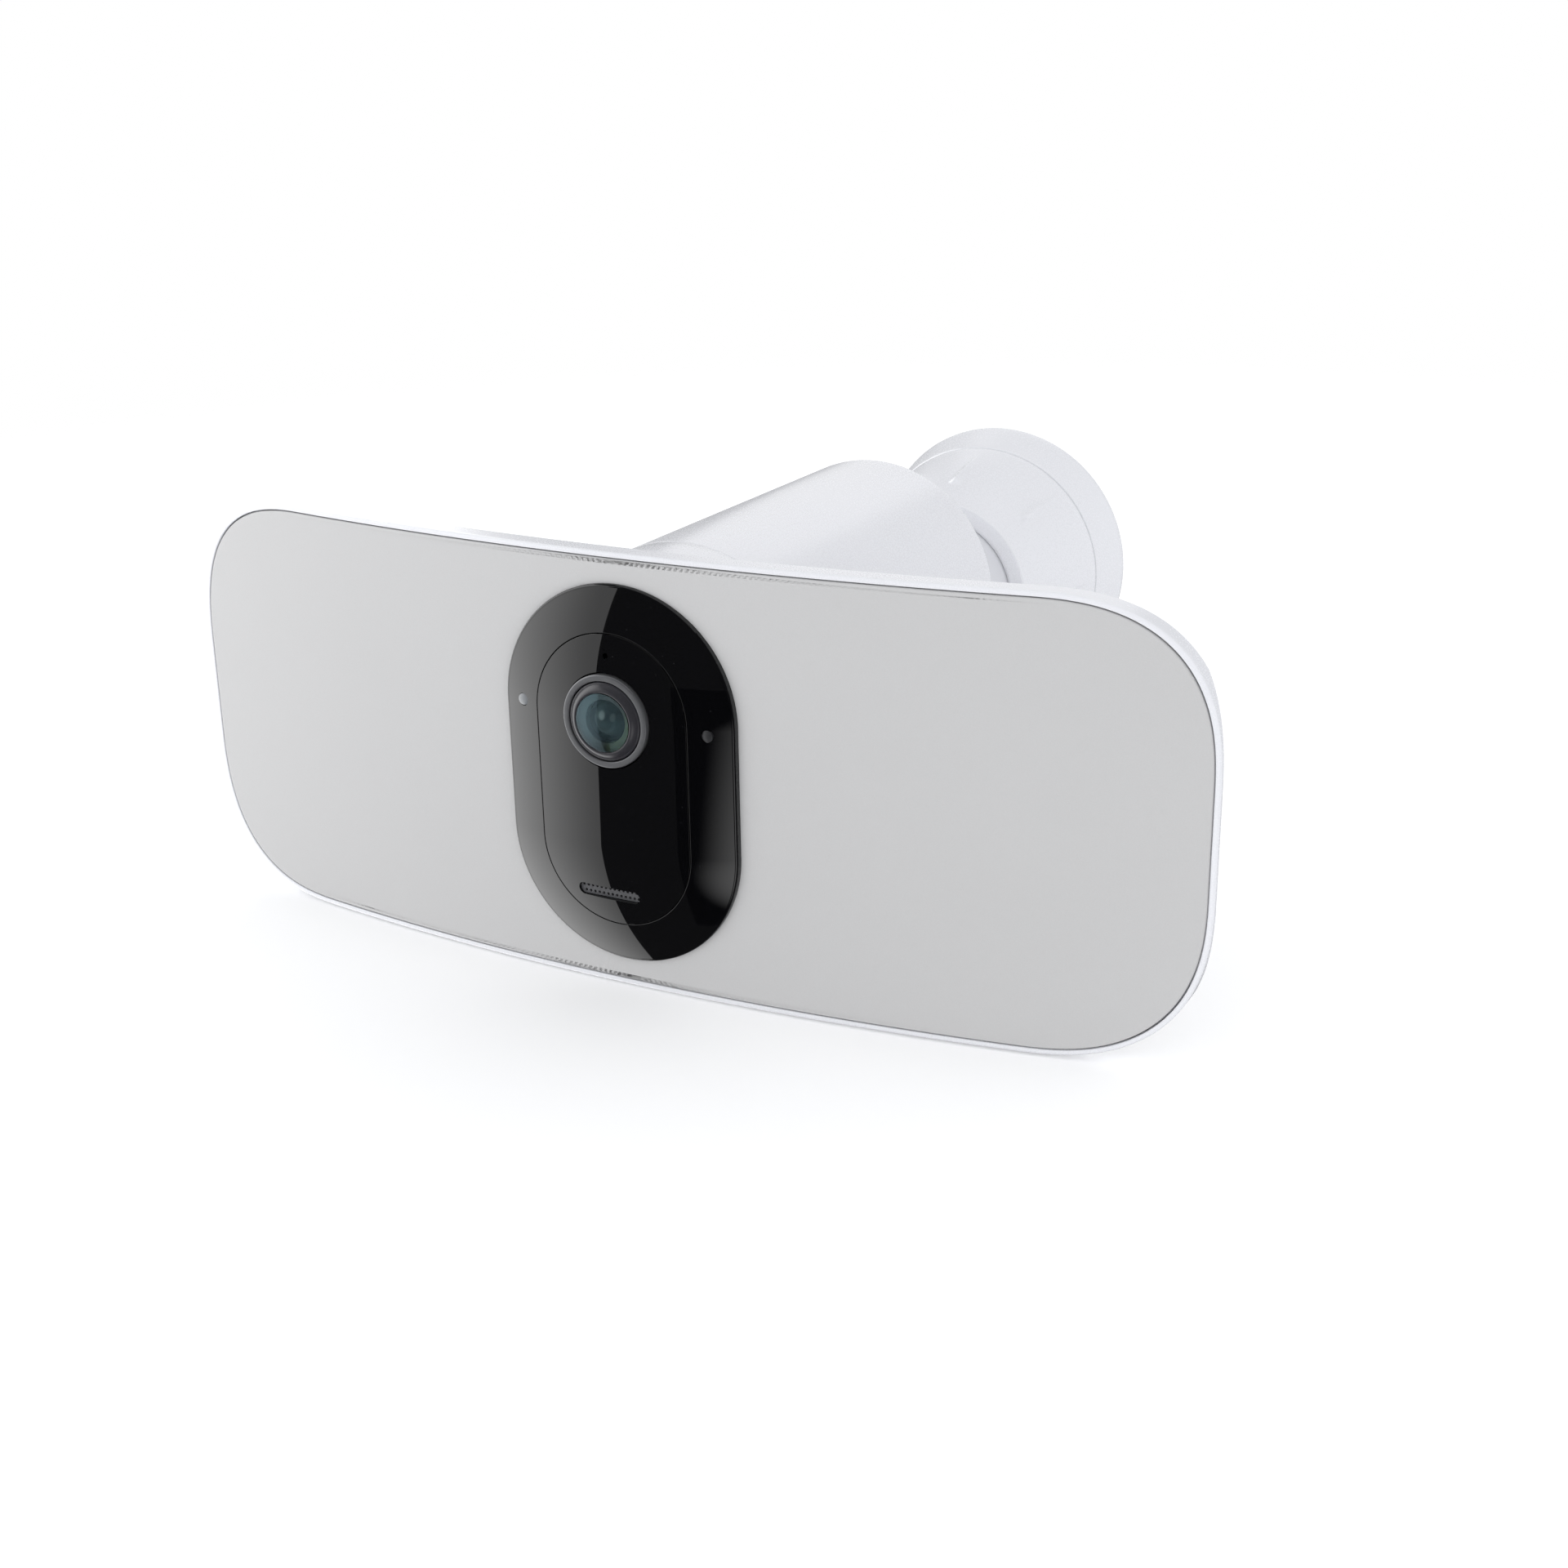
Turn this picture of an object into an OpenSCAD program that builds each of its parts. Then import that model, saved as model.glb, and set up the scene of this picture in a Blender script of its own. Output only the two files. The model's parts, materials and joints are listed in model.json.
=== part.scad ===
// Wall-held floodlight camera: a wide curved lamp head with a camera in its middle, a battery arm
// behind it, and a ball mount with a screwed locking collar on a round wall base.
// The origin is the centre of the wall plate's back face. +Z is up, and the lamp faces -Y.

/* [Lamp head] */
// Overall width of the lamp head
head_w = 291.2; // [240:0.2:350]
// Overall height of the lamp head
head_h = 113; // [108:0.5:140]
// Size of the lamp head's corner curves
head_corner = 44; // [36:0.5:50]
// Fullness of the corner curves, where 2 is a circle
corner_power = 2.57; // [2:0.01:3.5]
// Radius of the bend that sweeps both ends back
bend_r = 652.6; // [500:0.1:900]
// Thickness of the head at its middle
head_t = 21; // [20:0.5:30]
// Thickness of the head at its two thin ends
end_t = 2.6; // [2.4:0.1:6]
// Length over which each end thins out
end_taper = 45; // [30:1:60]
// Radius of the rounding along the top and bottom of the back
back_round = 10; // [6:0.5:12]
// Wall of the rear housing
head_wall = 2.2; // [1.6:0.1:3]
// Depth of the front bezel
bezel_t = 5.5; // [5:0.1:7]
// Width of the bezel's rim around the lens panel
bezel_lip = 1.3; // [1:0.1:3]
// Thickness of the lens panel
panel_t = 1.6; // [1.2:0.1:2]
// Gap round the lens panel
panel_gap = 0.3; // [0.2:0.05:0.5]
// Seam between two shells
seam = 0.25; // [0.15:0.05:0.5]

/* [Lamp] */
// Width of each lamp board
board_w = 78; // [60:1:90]
// Distance of each lamp board from the head's top and bottom edges
board_inset = 21.5; // [19:0.5:30]
// Columns of lamps on each board
lamp_cols = 6; // [3:1:8]
// Rows of lamps on each board
lamp_rows = 5; // [3:1:7]
// Side of one square lamp
lamp_side = 3.5; // [2:0.1:5]

/* [Camera] */
// Width of the black camera face
face_w = 65; // [60:0.5:72]
// Distance of the camera face from the head's top and bottom edges
face_inset = 7.5; // [5:0.1:12]
// Height of the crown of the camera face over the lens panel
face_crown = 7; // [5:0.1:9]
// Height of the camera face's edge over the lens panel
face_edge = 0.9; // [0.5:0.1:2]
// Thickness of the camera face's shell
face_shell = 2.2; // [1.6:0.1:3]
// Width of the inner camera face
inner_w = 42.2; // [38:0.1:46]
// Distance of the lens axis below the centre of the face's upper round end
lens_drop = 0.15; // [0:0.05:4]
// Outer radius of the lens ring
ring_r = 11.8; // [10:0.1:13]
// Radius of the front lens
glass_r = 7.4; // [6:0.1:8]
// Height of the front lens over the lens ring
glass_proud = 1.8; // [1:0.1:3]
// Width of the loudspeaker slot
slot_w = 18; // [14:0.5:22]
// Height of the loudspeaker slot over the lowest point of the inner face
slot_rise = 8.3; // [7:0.1:11]
// Sideways place of the loudspeaker slot
slot_x = -1.9; // [-3:0.1:3]
// Holes in each of the two rows of the loudspeaker slot
slot_holes = 13; // [8:1:13]
// Height of the status window over the centre of the face's upper round end
status_rise = 0.9; // [-4:0.1:4]
// Distance of the light sensor's window below the centre of the face's upper round end
sensor_drop = 1.4; // [-4:0.1:4]

/* [Battery arm] */
// Outer radius of the arm
arm_r = 38.2; // [34:0.1:42]
// Length of the arm from its end rim to the head
arm_len = 112; // [95:1:140]
// Wall of the arm
arm_wall = 2.6; // [2:0.1:3.5]
// Room between the arm's bore and the battery pack
pack_gap = 4.8; // [3:0.1:8]

/* [Ball mount] */
// Radius of the ball
ball_r = 27; // [24:0.1:29]
// Distance of the ball's centre from the wall
ball_s = 40; // [38:0.5:46]
// Distance from the ball's centre to the arm's end rim
neck = 60; // [55:0.5:70]
// Radius of the ball's stem
stem_r = 10; // [9:0.1:12]
// Radius of the stem's flange against the arm's end cap
flange_r = 19; // [16:0.1:20]
// Gap between the flange and the lowest line of the arm's bore
flange_gap = 3; // [1:0.1:5]
// Wall of the collar's screwed foot at its seam with the base
seam_wall = 7; // [5:0.1:9]
// Flare of the base from its seam to the wall
base_flare = 3.9; // [2:0.1:8]
// Height of the base's flared rim over the wall
base_s = 16; // [14:0.5:18]
// Width of the collar's flat rim at its mouth
mouth_rim = 5.5; // [4:0.1:7]
// Distance of the collar's mouth from the ball's centre
mouth_s = 13; // [12:0.1:14]
// Grip ribs round the collar
ribs = 8; // [4:1:12]
// Radius of the circle of wall screws
wall_screw_r = 28; // [26:0.5:31]
// Wall screws
wall_screws = 3; // [2:1:4]
// Radius of each wall screw's hole
wall_hole_r = 2.4; // [2:0.1:2.6]

/* [Hidden] */
$fn = 96;

white = [0.93, 0.94, 0.96];
black = [0.04, 0.04, 0.05];
grey = [0.42, 0.43, 0.45];
board_green = [0.05, 0.3, 0.15];
metal = [0.75, 0.76, 0.78];

// Every module below is drawn with its Z axis pointing out of the wall and its Y axis up.
// place() turns that frame into the part's own, where the lamp faces -Y and Z is up.
boss_len = 12;                                  // length of the head's socket for the arm
arm_end = ball_s + neck;                        // the arm's end rim
arm_front = arm_end + arm_len;                  // where the arm meets the head's socket
back_s = arm_front + boss_len;                  // back face of the head at its middle
reach = back_s + head_t;                        // from the wall to the front of the lens panel
arm_bore = arm_r - arm_wall;
arm_z = arm_bore - flange_r - flange_gap;       // height of the arm's axis over the middle of the head
pack_r = arm_bore - pack_gap;
bend_s = reach - bend_r;                        // the bend's upright axis
panel_w = head_w - 2 * (bezel_lip + panel_gap);
panel_h = head_h - 2 * (bezel_lip + panel_gap);
panel_corner = head_corner - bezel_lip - panel_gap;
deep = 60;                                      // longer than the head is deep
fit = 0.05;                                     // radial clearance of a running fit
clear = 0.4;                                    // clearance of pieces that must not touch
slip = 0.1;                                     // clearance of pieces laid against each other
face_run = head_h - 2 * face_inset - face_w;    // straight length of every pill outline
lens_z = face_run / 2 - lens_drop;              // heights over the middle of the head
status_z = face_run / 2 + status_rise;
sensor_z = face_run / 2 - sensor_drop;
slot_drop = (face_run + inner_w) / 2 - slot_rise;
board_h = head_h - 2 * board_inset;
face_neck_w = face_w - 4;                       // the part of the face inside the panel's hole
can_w = face_neck_w - 1;                        // the camera housing behind the panel
can_h = can_w + face_run;
can_front = 2.1;                                // depths behind the panel's front surface
can_back = head_t - head_wall - 0.4;
can_wall = 1.8;
crown_drop = face_crown - face_edge;
crown_r = (pow(face_w / 2, 2) + pow(crown_drop, 2)) / (2 * crown_drop);
crown_s = reach + face_crown - crown_r;         // centre of the crown's curve
ring_top = face_crown + 0.3;                    // lens ring's front over the panel
mouth = ball_s + mouth_s;
boss_top = ball_s - 9;
ball_gap = 0.35;                                // clearance of the collar's hollow round the ball
liner_r = ball_r + 2.2;
boss_r = liner_r + 3.8;                         // screwed boss inside the collar
lip_r = sqrt(ball_r * ball_r - mouth_s * mouth_s) + ball_gap;   // hole in the collar's mouth
mouth_r = lip_r + mouth_rim;
seam_r = boss_r + seam_wall;
base_r = seam_r + base_flare;
collar_slope = (seam_r - mouth_r) / (mouth - base_s);
plate_r = base_r - 6.5;
plate_s = 4;
floor_s = plate_s + 5;

module place() { rotate([90, 0, 0]) children(); }

// One quarter of a superellipse corner, counted from the X side to the Y side.
function corner(cx, cy, r, power, steps) =
    [for (i = [0:steps]) let (a = 90 * i / steps)
        [cx + r * pow(cos(a), 2 / power), cy + r * pow(sin(a), 2 / power)]];

function backwards(list) = [for (i = [len(list) - 1:-1:0]) list[i]];

// Points of a rectangle w by h whose corners are superellipse quarters of size r.
function soft_rect(w, h, r, power, steps = 12) =
    let (q = corner(w / 2 - r, h / 2 - r, r, power, steps))
    concat(q, [for (p = backwards(q)) [-p[0], p[1]]],
           [for (p = q) [-p[0], -p[1]]], [for (p = backwards(q)) [p[0], -p[1]]]);

function head_points(inset) =
    soft_rect(head_w - 2 * inset, head_h - 2 * inset, head_corner - inset, corner_power);

function panel_points(inset) =
    soft_rect(panel_w - 2 * inset, panel_h - 2 * inset, panel_corner - inset, corner_power);

// A pill outline of width w; all pills share the centres of their round ends.
module pill(w) {
    square([w, face_run], center = true);
    for (s = [-1, 1]) translate([0, s * face_run / 2]) circle(r = w / 2);
}

// Forward position of the bent front surface at a distance x from the middle.
function front_at(x) = bend_s + sqrt(bend_r * bend_r - x * x);

// Turn of the bent surface at x, seen from above.
function bend_turn(x) = asin(x / bend_r);

// A curved sheet between two depths behind the front surface.
module sheet(near, far) {
    translate([0, head_h, bend_s])
        rotate([90, 0, 0])
            difference() {
                cylinder(r = bend_r - near, h = 2 * head_h, $fn = 360);
                translate([0, 0, -1]) cylinder(r = bend_r - far, h = 2 * head_h + 2, $fn = 360);
            }
}

// Everything inside an outline, over the full depth of the head.
module column(points) {
    translate([0, 0, reach - deep]) linear_extrude(2 * deep) polygon(points);
}

module pill_column(w) {
    translate([0, 0, reach - deep]) linear_extrude(2 * deep) pill(w);
}

// Seen from above, each end thins from the full depth to end_t along a parabola.
module plan_form(inset) {
    steps = 10;
    half = head_w / 2 + 1;
    taper = [for (i = [0:steps]) let (u = i / steps, x = head_w / 2 - end_taper * (1 - u))
        [x, front_at(x) - end_t - (head_t - end_t) * (1 - u * u) + inset]];
    last = taper[steps];
    right = concat(taper, [[half, last[1]], [half, reach + deep]]);
    left = [for (p = backwards(right)) [-p[0], p[1]]];
    rotate([90, 0, 0])
        linear_extrude(4 * head_h, center = true)
            polygon(concat(right, left, [[-taper[0][0], reach - deep], [taper[0][0], reach - deep]]));
}

// Seen from the side, the top and bottom edges of the back are rounded.
module side_form(inset) {
    steps = 8;
    h = head_h / 2 - inset;
    r = back_round - inset;
    back = bend_r - head_t + inset;
    over = 3;
    arc = [for (i = [0:steps]) let (a = 90 * i / steps)
        [back + r * (1 - sin(a)), h - r * (1 - cos(a))]];
    top = concat([[bend_r + over, h + over], [back + r + 0.1, h + over]], arc);
    translate([0, 0, bend_s])
        rotate([90, 0, 0])
            rotate_extrude($fn = 360)
                polygon(concat(top, [for (p = backwards(top)) [p[0], -p[1]]]));
}

module head_form(inset) {
    intersection() {
        column(head_points(inset));
        plan_form(inset);
        side_form(inset);
    }
}

// The crowned solid of the camera face: a cylinder between two balls, cut off at a plane.
module crown(w, r, back) {
    intersection() {
        translate([0, 0, reach - back]) linear_extrude(back + deep) pill(w);
        union() {
            for (s = [-1, 1]) translate([0, s * face_run / 2, crown_s]) sphere(r = r, $fn = 128);
            translate([0, face_run / 2, crown_s])
                rotate([90, 0, 0]) cylinder(r = r, h = face_run, $fn = 128);
        }
    }
}

module tube(outer, inner, low, high) {
    translate([0, 0, low])
        difference() {
            cylinder(r = outer, h = high - low);
            translate([0, 0, -1]) cylinder(r = inner, h = high - low + 2);
        }
}

module rod(r, low, high) { translate([0, 0, low]) cylinder(r = r, h = high - low); }

module at_arm() { translate([0, arm_z, 0]) children(); }

module at_lens() { translate([0, lens_z, reach]) children(); }

// Puts a piece on the bent surface: at x from the middle, y up, depth behind the front.
module on_bend(x, y, depth) {
    translate([0, y, bend_s]) rotate([0, bend_turn(x), 0]) translate([0, 0, bend_r - depth]) children();
}

// ---- Lamp head -------------------------------------------------------------------------------

module diffuser_panel() {
    color([0.86, 0.86, 0.87]) place()
        difference() {
            intersection() {
                column(panel_points(0));
                sheet(0, panel_t);
            }
            pill_column(face_neck_w + 2 * slip);
        }
}

gasket_t = 0.6;
ledge_w = 4.2;
ledge_front = panel_t + gasket_t + 0.1;
ledge_t = 1.3;

module panel_gasket() {
    color([0.1, 0.1, 0.1]) place()
        difference() {
            intersection() {
                column(panel_points(1.2));
                sheet(panel_t + 0.03, panel_t + gasket_t);
            }
            column(panel_points(ledge_w - 0.6));
        }
}

module front_bezel() {
    color(white) place()
        difference() {
            intersection() {
                head_form(0);
                sheet(0, bezel_t);
            }
            intersection() {
                column(panel_points(-panel_gap));
                sheet(-deep, ledge_front);
            }
            column(panel_points(ledge_w));
            intersection() {
                head_form(head_wall);
                sheet(ledge_front + ledge_t, deep);
            }
        }
}

screw_x = head_w / 2 - end_taper - 4;
inner_screw_x = can_w / 2 + 16;
screw_y = head_h / 2 - 9.5;
screw_spots = [for (x = [-screw_x, -inner_screw_x, inner_screw_x, screw_x], y = [-1, 1] * screw_y) [x, y]];
screw_r = 1.4;
screw_head_r = 2.6;
screw_sink = 1.4;
post_r = 3.8;

module rear_housing() {
    front = bezel_t + seam;
    color(white) place()
        difference() {
            union() {
                difference() {
                    intersection() {
                        head_form(0);
                        sheet(front, deep);
                    }
                    intersection() {
                        head_form(head_wall);
                        sheet(-deep, head_t - head_wall);
                    }
                }
                at_arm() tube(arm_r, arm_bore - 0.3, arm_front + seam, back_s + head_wall);
                intersection() {
                    head_form(0);
                    for (p = screw_spots)
                        on_bend(p[0], p[1], head_t - 1)
                            cylinder(r = post_r, h = head_t - 1 - bezel_t - 1);
                }
            }
            at_arm() rod(9, arm_front, reach - bezel_t);
            for (p = screw_spots)
                on_bend(p[0], p[1], head_t + 1)
                    union() {
                        cylinder(r = screw_r + fit, h = head_t);
                        cylinder(r = screw_head_r + slip, h = 1 + screw_sink);
                    }
            sync_hole();
            port_hole();
        }
}

module housing_gasket() {
    color([0.15, 0.15, 0.16]) place()
        difference() {
            intersection() {
                head_form(head_wall + 0.1);
                sheet(bezel_t + 0.3, bezel_t + 1.1);
            }
            column(head_points(head_wall + 1.4));
            column([[head_w, -head_h], [head_w / 2 - end_taper / 2, -head_h],
                    [head_w / 2 - end_taper / 2, head_h], [head_w, head_h]]);
            column([[-head_w, -head_h], [end_taper / 2 - head_w / 2, -head_h],
                    [end_taper / 2 - head_w / 2, head_h], [-head_w, head_h]]);
        }
}

lamp_depth = 9.5;      // front of the lamp boards behind the panel's front
board_t = 1.6;
board_x = can_w / 2 + 6 + board_w / 2;

module led_board(side) {
    color([0.9, 0.9, 0.88]) place()
        on_bend(side * board_x, 0, lamp_depth + board_t)
            translate([-board_w / 2, -board_h / 2, 0]) cube([board_w, board_h, board_t]);
}

module led_chips(side) {
    pitch_x = board_w / lamp_cols;
    pitch_y = board_h / lamp_rows;
    color([0.95, 0.85, 0.4]) place()
        on_bend(side * board_x, 0, lamp_depth)
            for (i = [0:lamp_cols - 1], j = [0:lamp_rows - 1])
                translate([(i + 0.5) * pitch_x - board_w / 2 - lamp_side / 2,
                           (j + 0.5) * pitch_y - board_h / 2 - lamp_side / 2, 0])
                    cube([lamp_side, lamp_side, 0.8]);
}

module heat_spreader(side) {
    spreader_t = 1.5;
    color(metal) place()
        on_bend(side * board_x, 0, lamp_depth + board_t + spreader_t + slip)
            translate([-board_w / 2 - 2, -board_h / 2 - 2, 0])
                cube([board_w + 4, board_h + 4, spreader_t]);
}

module led_board_left() { led_board(-1); }
module led_board_right() { led_board(1); }
module led_chips_left() { led_chips(-1); }
module led_chips_right() { led_chips(1); }
module heat_spreader_left() { heat_spreader(-1); }
module heat_spreader_right() { heat_spreader(1); }

module housing_screws() {
    color(metal) place()
        for (p = screw_spots)
            on_bend(p[0], p[1], head_t - screw_sink + 0.8)
                union() {
                    cylinder(r = screw_r, h = head_t - bezel_t - 4);
                    cylinder(r = screw_head_r, h = 0.8);
                }
}

// ---- Camera ----------------------------------------------------------------------------------

module camera_housing() {
    color(grey) place()
        difference() {
            intersection() {
                pill_column(can_w);
                translate([-can_w, -can_h, reach - can_back])
                    cube([2 * can_w, 2 * can_h, can_back - can_front]);
            }
            translate([0, 0, reach - can_back + can_wall])
                linear_extrude(deep) pill(can_w - 2 * can_wall);
            rod(8, reach - can_back - 1, reach - can_back + can_wall + 1);
        }
}

module camera_face_ring() {
    color(black) place()
        difference() {
            union() {
                difference() {
                    crown(face_w, crown_r, 2);
                    sheet(-0.03, deep);
                }
                crown(face_neck_w, crown_r - 1, can_front - 0.05);
            }
            pill_column(inner_w + 2 * seam);
            crown(face_neck_w - 3, crown_r - face_shell, deep);
            window_hole(-1, status_z);
            window_hole(1, sensor_z);
        }
}

slot_h = 3.3;
slot_sink = 2.4;       // depth of the grille below the top of the crown
module slot_shape(grow) {
    r = slot_h / 2 + grow;
    translate([slot_x, -slot_drop])
        union() {
            square([slot_w - slot_h, 2 * r], center = true);
            for (s = [-1, 1]) translate([s * (slot_w - slot_h) / 2, 0]) circle(r = r, $fn = 32);
        }
}

mic_z = lens_z + ring_r + 4.3;
mic_r = 0.7;

module camera_face_inner() {
    color(black) place()
        difference() {
            crown(inner_w, crown_r, can_front - 0.05);
            crown(inner_w - 3, crown_r - face_shell, deep);
            at_lens() rod(ring_r + slip, -deep, deep);
            translate([0, 0, reach - deep]) linear_extrude(2 * deep) slot_shape(0);
            translate([0, mic_z, reach]) cylinder(r = mic_r, h = deep);
        }
}

ring_inner = ring_r - 1.65;
glass_edge = ring_top + glass_proud - 0.9;      // rim of the front lens
rear_lens_r = 5.1;

module lens_ring() {
    color(grey) place() at_lens()
        rotate_extrude()
            polygon([[ring_inner, 0], [ring_r, 0], [ring_r, ring_top - 0.4], [ring_r - 0.4, ring_top],
                     [ring_inner + 0.3, ring_top], [ring_inner, ring_top - 0.3]]);
}

// The barrel rises from the ring to the glass as a shallow cone.
module lens_barrel() {
    outer = ring_inner - 0.2;
    bore = rear_lens_r + slip;
    seat = glass_edge - 1.7;
    color([0.08, 0.08, 0.09]) place() at_lens()
        rotate_extrude()
            polygon([[bore, -12], [outer, -12], [outer, ring_top - 0.5], [outer - 0.4, ring_top - 0.1],
                     [glass_r + 0.5, glass_edge + 0.1], [glass_r + 0.1, glass_edge],
                     [glass_r + 0.1, seat], [bore, seat]]);
}

glass_bulge = 0.9;
glass_sphere = (glass_r * glass_r + glass_bulge * glass_bulge) / (2 * glass_bulge);

module front_lens() {
    color([0.1, 0.2, 0.3, 0.6]) place() at_lens()
        intersection() {
            rod(glass_r, glass_edge - 1, glass_edge + glass_bulge + 1);
            translate([0, 0, glass_edge + glass_bulge - glass_sphere]) sphere(r = glass_sphere);
        }
}

module rear_lens() {
    top = glass_edge - 1.2;
    dome = 7;
    color([0.1, 0.15, 0.2, 0.6]) place() at_lens()
        intersection() {
            rod(rear_lens_r, top - 5, top);
            translate([0, 0, top - dome]) sphere(r = dome);
        }
}

sensor_depth = 13.6;
module image_sensor() {
    color([0.1, 0.1, 0.12]) place() at_lens()
        translate([-5, -4.5, -sensor_depth]) cube([10, 9, 1.2]);
}

camera_board_w = inner_w - 3;
module camera_board() {
    board = 1.2;
    color(board_green) place()
        translate([-camera_board_w / 2, lens_z - 16, reach - sensor_depth - board - 0.05])
            cube([camera_board_w, 36, board]);
}

module infrared_leds() {
    color([0.2, 0.1, 0.15]) place()
        for (s = [-1, 1])
            translate([s * 14.5 - 1.5, lens_z - 1.5, reach - sensor_depth]) cube([3, 3, 2]);
}

speaker_r = 12.5;
// The loudspeaker sits behind its slot, or lower where the camera board comes down to it.
speaker_z = min(6 - slot_drop, lens_z - 16 - clear - speaker_r);

module speaker() {
    color([0.2, 0.2, 0.22]) place()
        translate([0, speaker_z, 0]) rod(speaker_r, reach - 15, reach - 9);
}

module speaker_grille() {
    grille = 0.6;
    pitch = (slot_w - 1.4) / slot_holes;
    low = reach + face_crown - slot_sink - grille;
    color([0.02, 0.02, 0.02]) place()
        difference() {
            translate([0, 0, low]) linear_extrude(grille) slot_shape(-0.08);
            for (i = [0:slot_holes - 1], row = [-1, 1])
                translate([slot_x + (i - row / 4) * pitch - (slot_holes - 1) * pitch / 2,
                           row * 0.75 - slot_drop, low - 1])
                    cylinder(r = 0.36, h = grille + 2, $fn = 13);
        }
}

module microphone() {
    color([0.6, 0.6, 0.62]) place()
        translate([-2, mic_z - 1.5, reach + 0.4]) cube([4, 3, 1]);
}

window_x = face_w / 2 - 6.35;
window_r = 1.5;
function crown_at(x) = crown_s + sqrt(crown_r * crown_r - x * x);

module window_hole(side, z) {
    translate([side * window_x, z, reach - 1]) cylinder(r = window_r + slip, h = deep, $fn = 32);
}

module window(side, z, proud) {
    top = crown_at(window_x) + proud;
    translate([side * window_x, z, 0])
        intersection() {
            rod(window_r, top - face_shell - 1.5, top, $fn = 32);
            translate([0, 0, top - 3 * window_r]) sphere(r = 3 * window_r, $fn = 48);
        }
}

module status_window() { color([0.6, 0.62, 0.63]) place() window(-1, status_z, 0.1); }

module light_sensor_window() { color([0.3, 0.3, 0.3, 0.5]) place() window(1, sensor_z, 0.3); }

motion_drop = 23.35;        // distance of the sensor below the lens axis

module motion_sensor() {
    color([0.55, 0.55, 0.5]) place()
        translate([0, lens_z - motion_drop, reach - 6]) cylinder(r = 4.6, h = 4);
}

module main_board() {
    board = 1.2;
    color(board_green) place()
        translate([0, 0, reach - can_back + can_wall + 0.1])
            difference() {
                translate([7 - can_w / 2, -face_run / 2 - 15, 0]) cube([can_w - 14, face_run + 30, board]);
                translate([0, 0, -1]) cylinder(r = 8, h = board + 2);
            }
}

// ---- Buttons and socket under the head ---------------------------------------------------------

sync_x = -32;
port_x = 32;
under_depth = 10.4;
sync_r = 2.8;
function under_s(x) = front_at(x) - under_depth;

// Turns a piece so that its Z axis points down, with its origin on the head's lower face.
module under(x) {
    translate([x, -head_h / 2, under_s(x)]) rotate([90, 0, 0]) children();
}

module sync_hole() { under(sync_x) rod(sync_r + 0.3, -deep / 4, 1); }

module sync_button() {
    color(grey) place()
        under(sync_x)
            union() {
                rod(sync_r, -head_wall - 1, 0.3);
                rod(sync_r + 0.8, -head_wall - 1.8, -head_wall - 0.8);
            }
}

port_w = 10;
port_h = 3.6;
cover_w = 17;
cover_h = 6;
cover_t = 1.2;
hinge_x = cover_w / 2;

module port_hole() {
    under(port_x)
        union() {
            translate([-port_w / 2 - 1.5, -port_h / 2 - 0.2, -6]) cube([port_w + 0.4, port_h + 0.4, 8]);
            translate([-cover_w / 2 - 0.3, -cover_h / 2 - 0.3, -cover_t - 0.3])
                cube([cover_w + cover_t + 0.6, cover_h + 0.6, 3]);
        }
}

module charge_socket() {
    color(metal) place()
        under(port_x)
            translate([-port_w / 2 - 1.3, -port_h / 2, -8.5])
                difference() {
                    cube([port_w, port_h, 6]);
                    translate([0.5, 0.5, 1]) cube([port_w - 1, port_h - 1, 6]);
                }
}

module port_cover() {
    color([0.85, 0.86, 0.88]) place()
        under(port_x)
            union() {
                translate([-cover_w / 2, -cover_h / 2, -cover_t]) cube([cover_w, cover_h, cover_t]);
                translate([hinge_x, -cover_h / 2, -cover_t / 2])
                    rotate([-90, 0, 0]) cylinder(r = cover_t / 2, h = cover_h, $fn = 32);
            }
}

// ---- Battery arm -------------------------------------------------------------------------------

cradle_r = arm_bore - 0.4;
cradle_in = pack_r + 0.5;
cradle_end = arm_end + 18;
cradle_front = front_at(arm_bore) - head_t - 0.2;
groove_w = 17;
ring_groove_s = arm_front - 5;

module battery_cradle() {
    color([0.25, 0.26, 0.28]) place() at_arm()
        difference() {
            rod(cradle_r, cradle_end, cradle_front);
            rod(cradle_in, cradle_end + 3, cradle_front - 3);
            rod(8.5, cradle_front - 4, cradle_front + 1);
            translate([-arm_r, -4, cradle_end - 1])
                cube([2 * arm_r, 2 * arm_r, arm_front - cradle_end - 11]);
            translate([-groove_w / 2, -2 * arm_r, cradle_end - 1])
                cube([groove_w, 2 * arm_r - cradle_in + 4, arm_front - cradle_end - 15]);
            tube(arm_r, cradle_r - 1.2, ring_groove_s - 1, ring_groove_s + 1);
        }
}

module arm_seal_ring() {
    color([0.1, 0.1, 0.1]) place() at_arm()
        rotate_extrude() translate([cradle_r - 0.35, ring_groove_s]) circle(r = 0.7, $fn = 24);
}

pack_low = cradle_end + 3.3;
pack_high = cradle_front - 5.5;

module battery_pack() {
    edge = 2;
    color([0.12, 0.13, 0.15]) place() at_arm()
        rotate_extrude()
            polygon([[0, pack_low], [pack_r - edge, pack_low], [pack_r, pack_low + edge],
                     [pack_r, pack_high - edge], [pack_r - edge, pack_high], [0, pack_high]]);
}

module battery_contacts() {
    color([0.8, 0.65, 0.3]) place() at_arm()
        for (i = [-2:2])
            translate([i * 3, 0, 0]) rod(0.8, pack_high, pack_high + 3);
}

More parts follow.
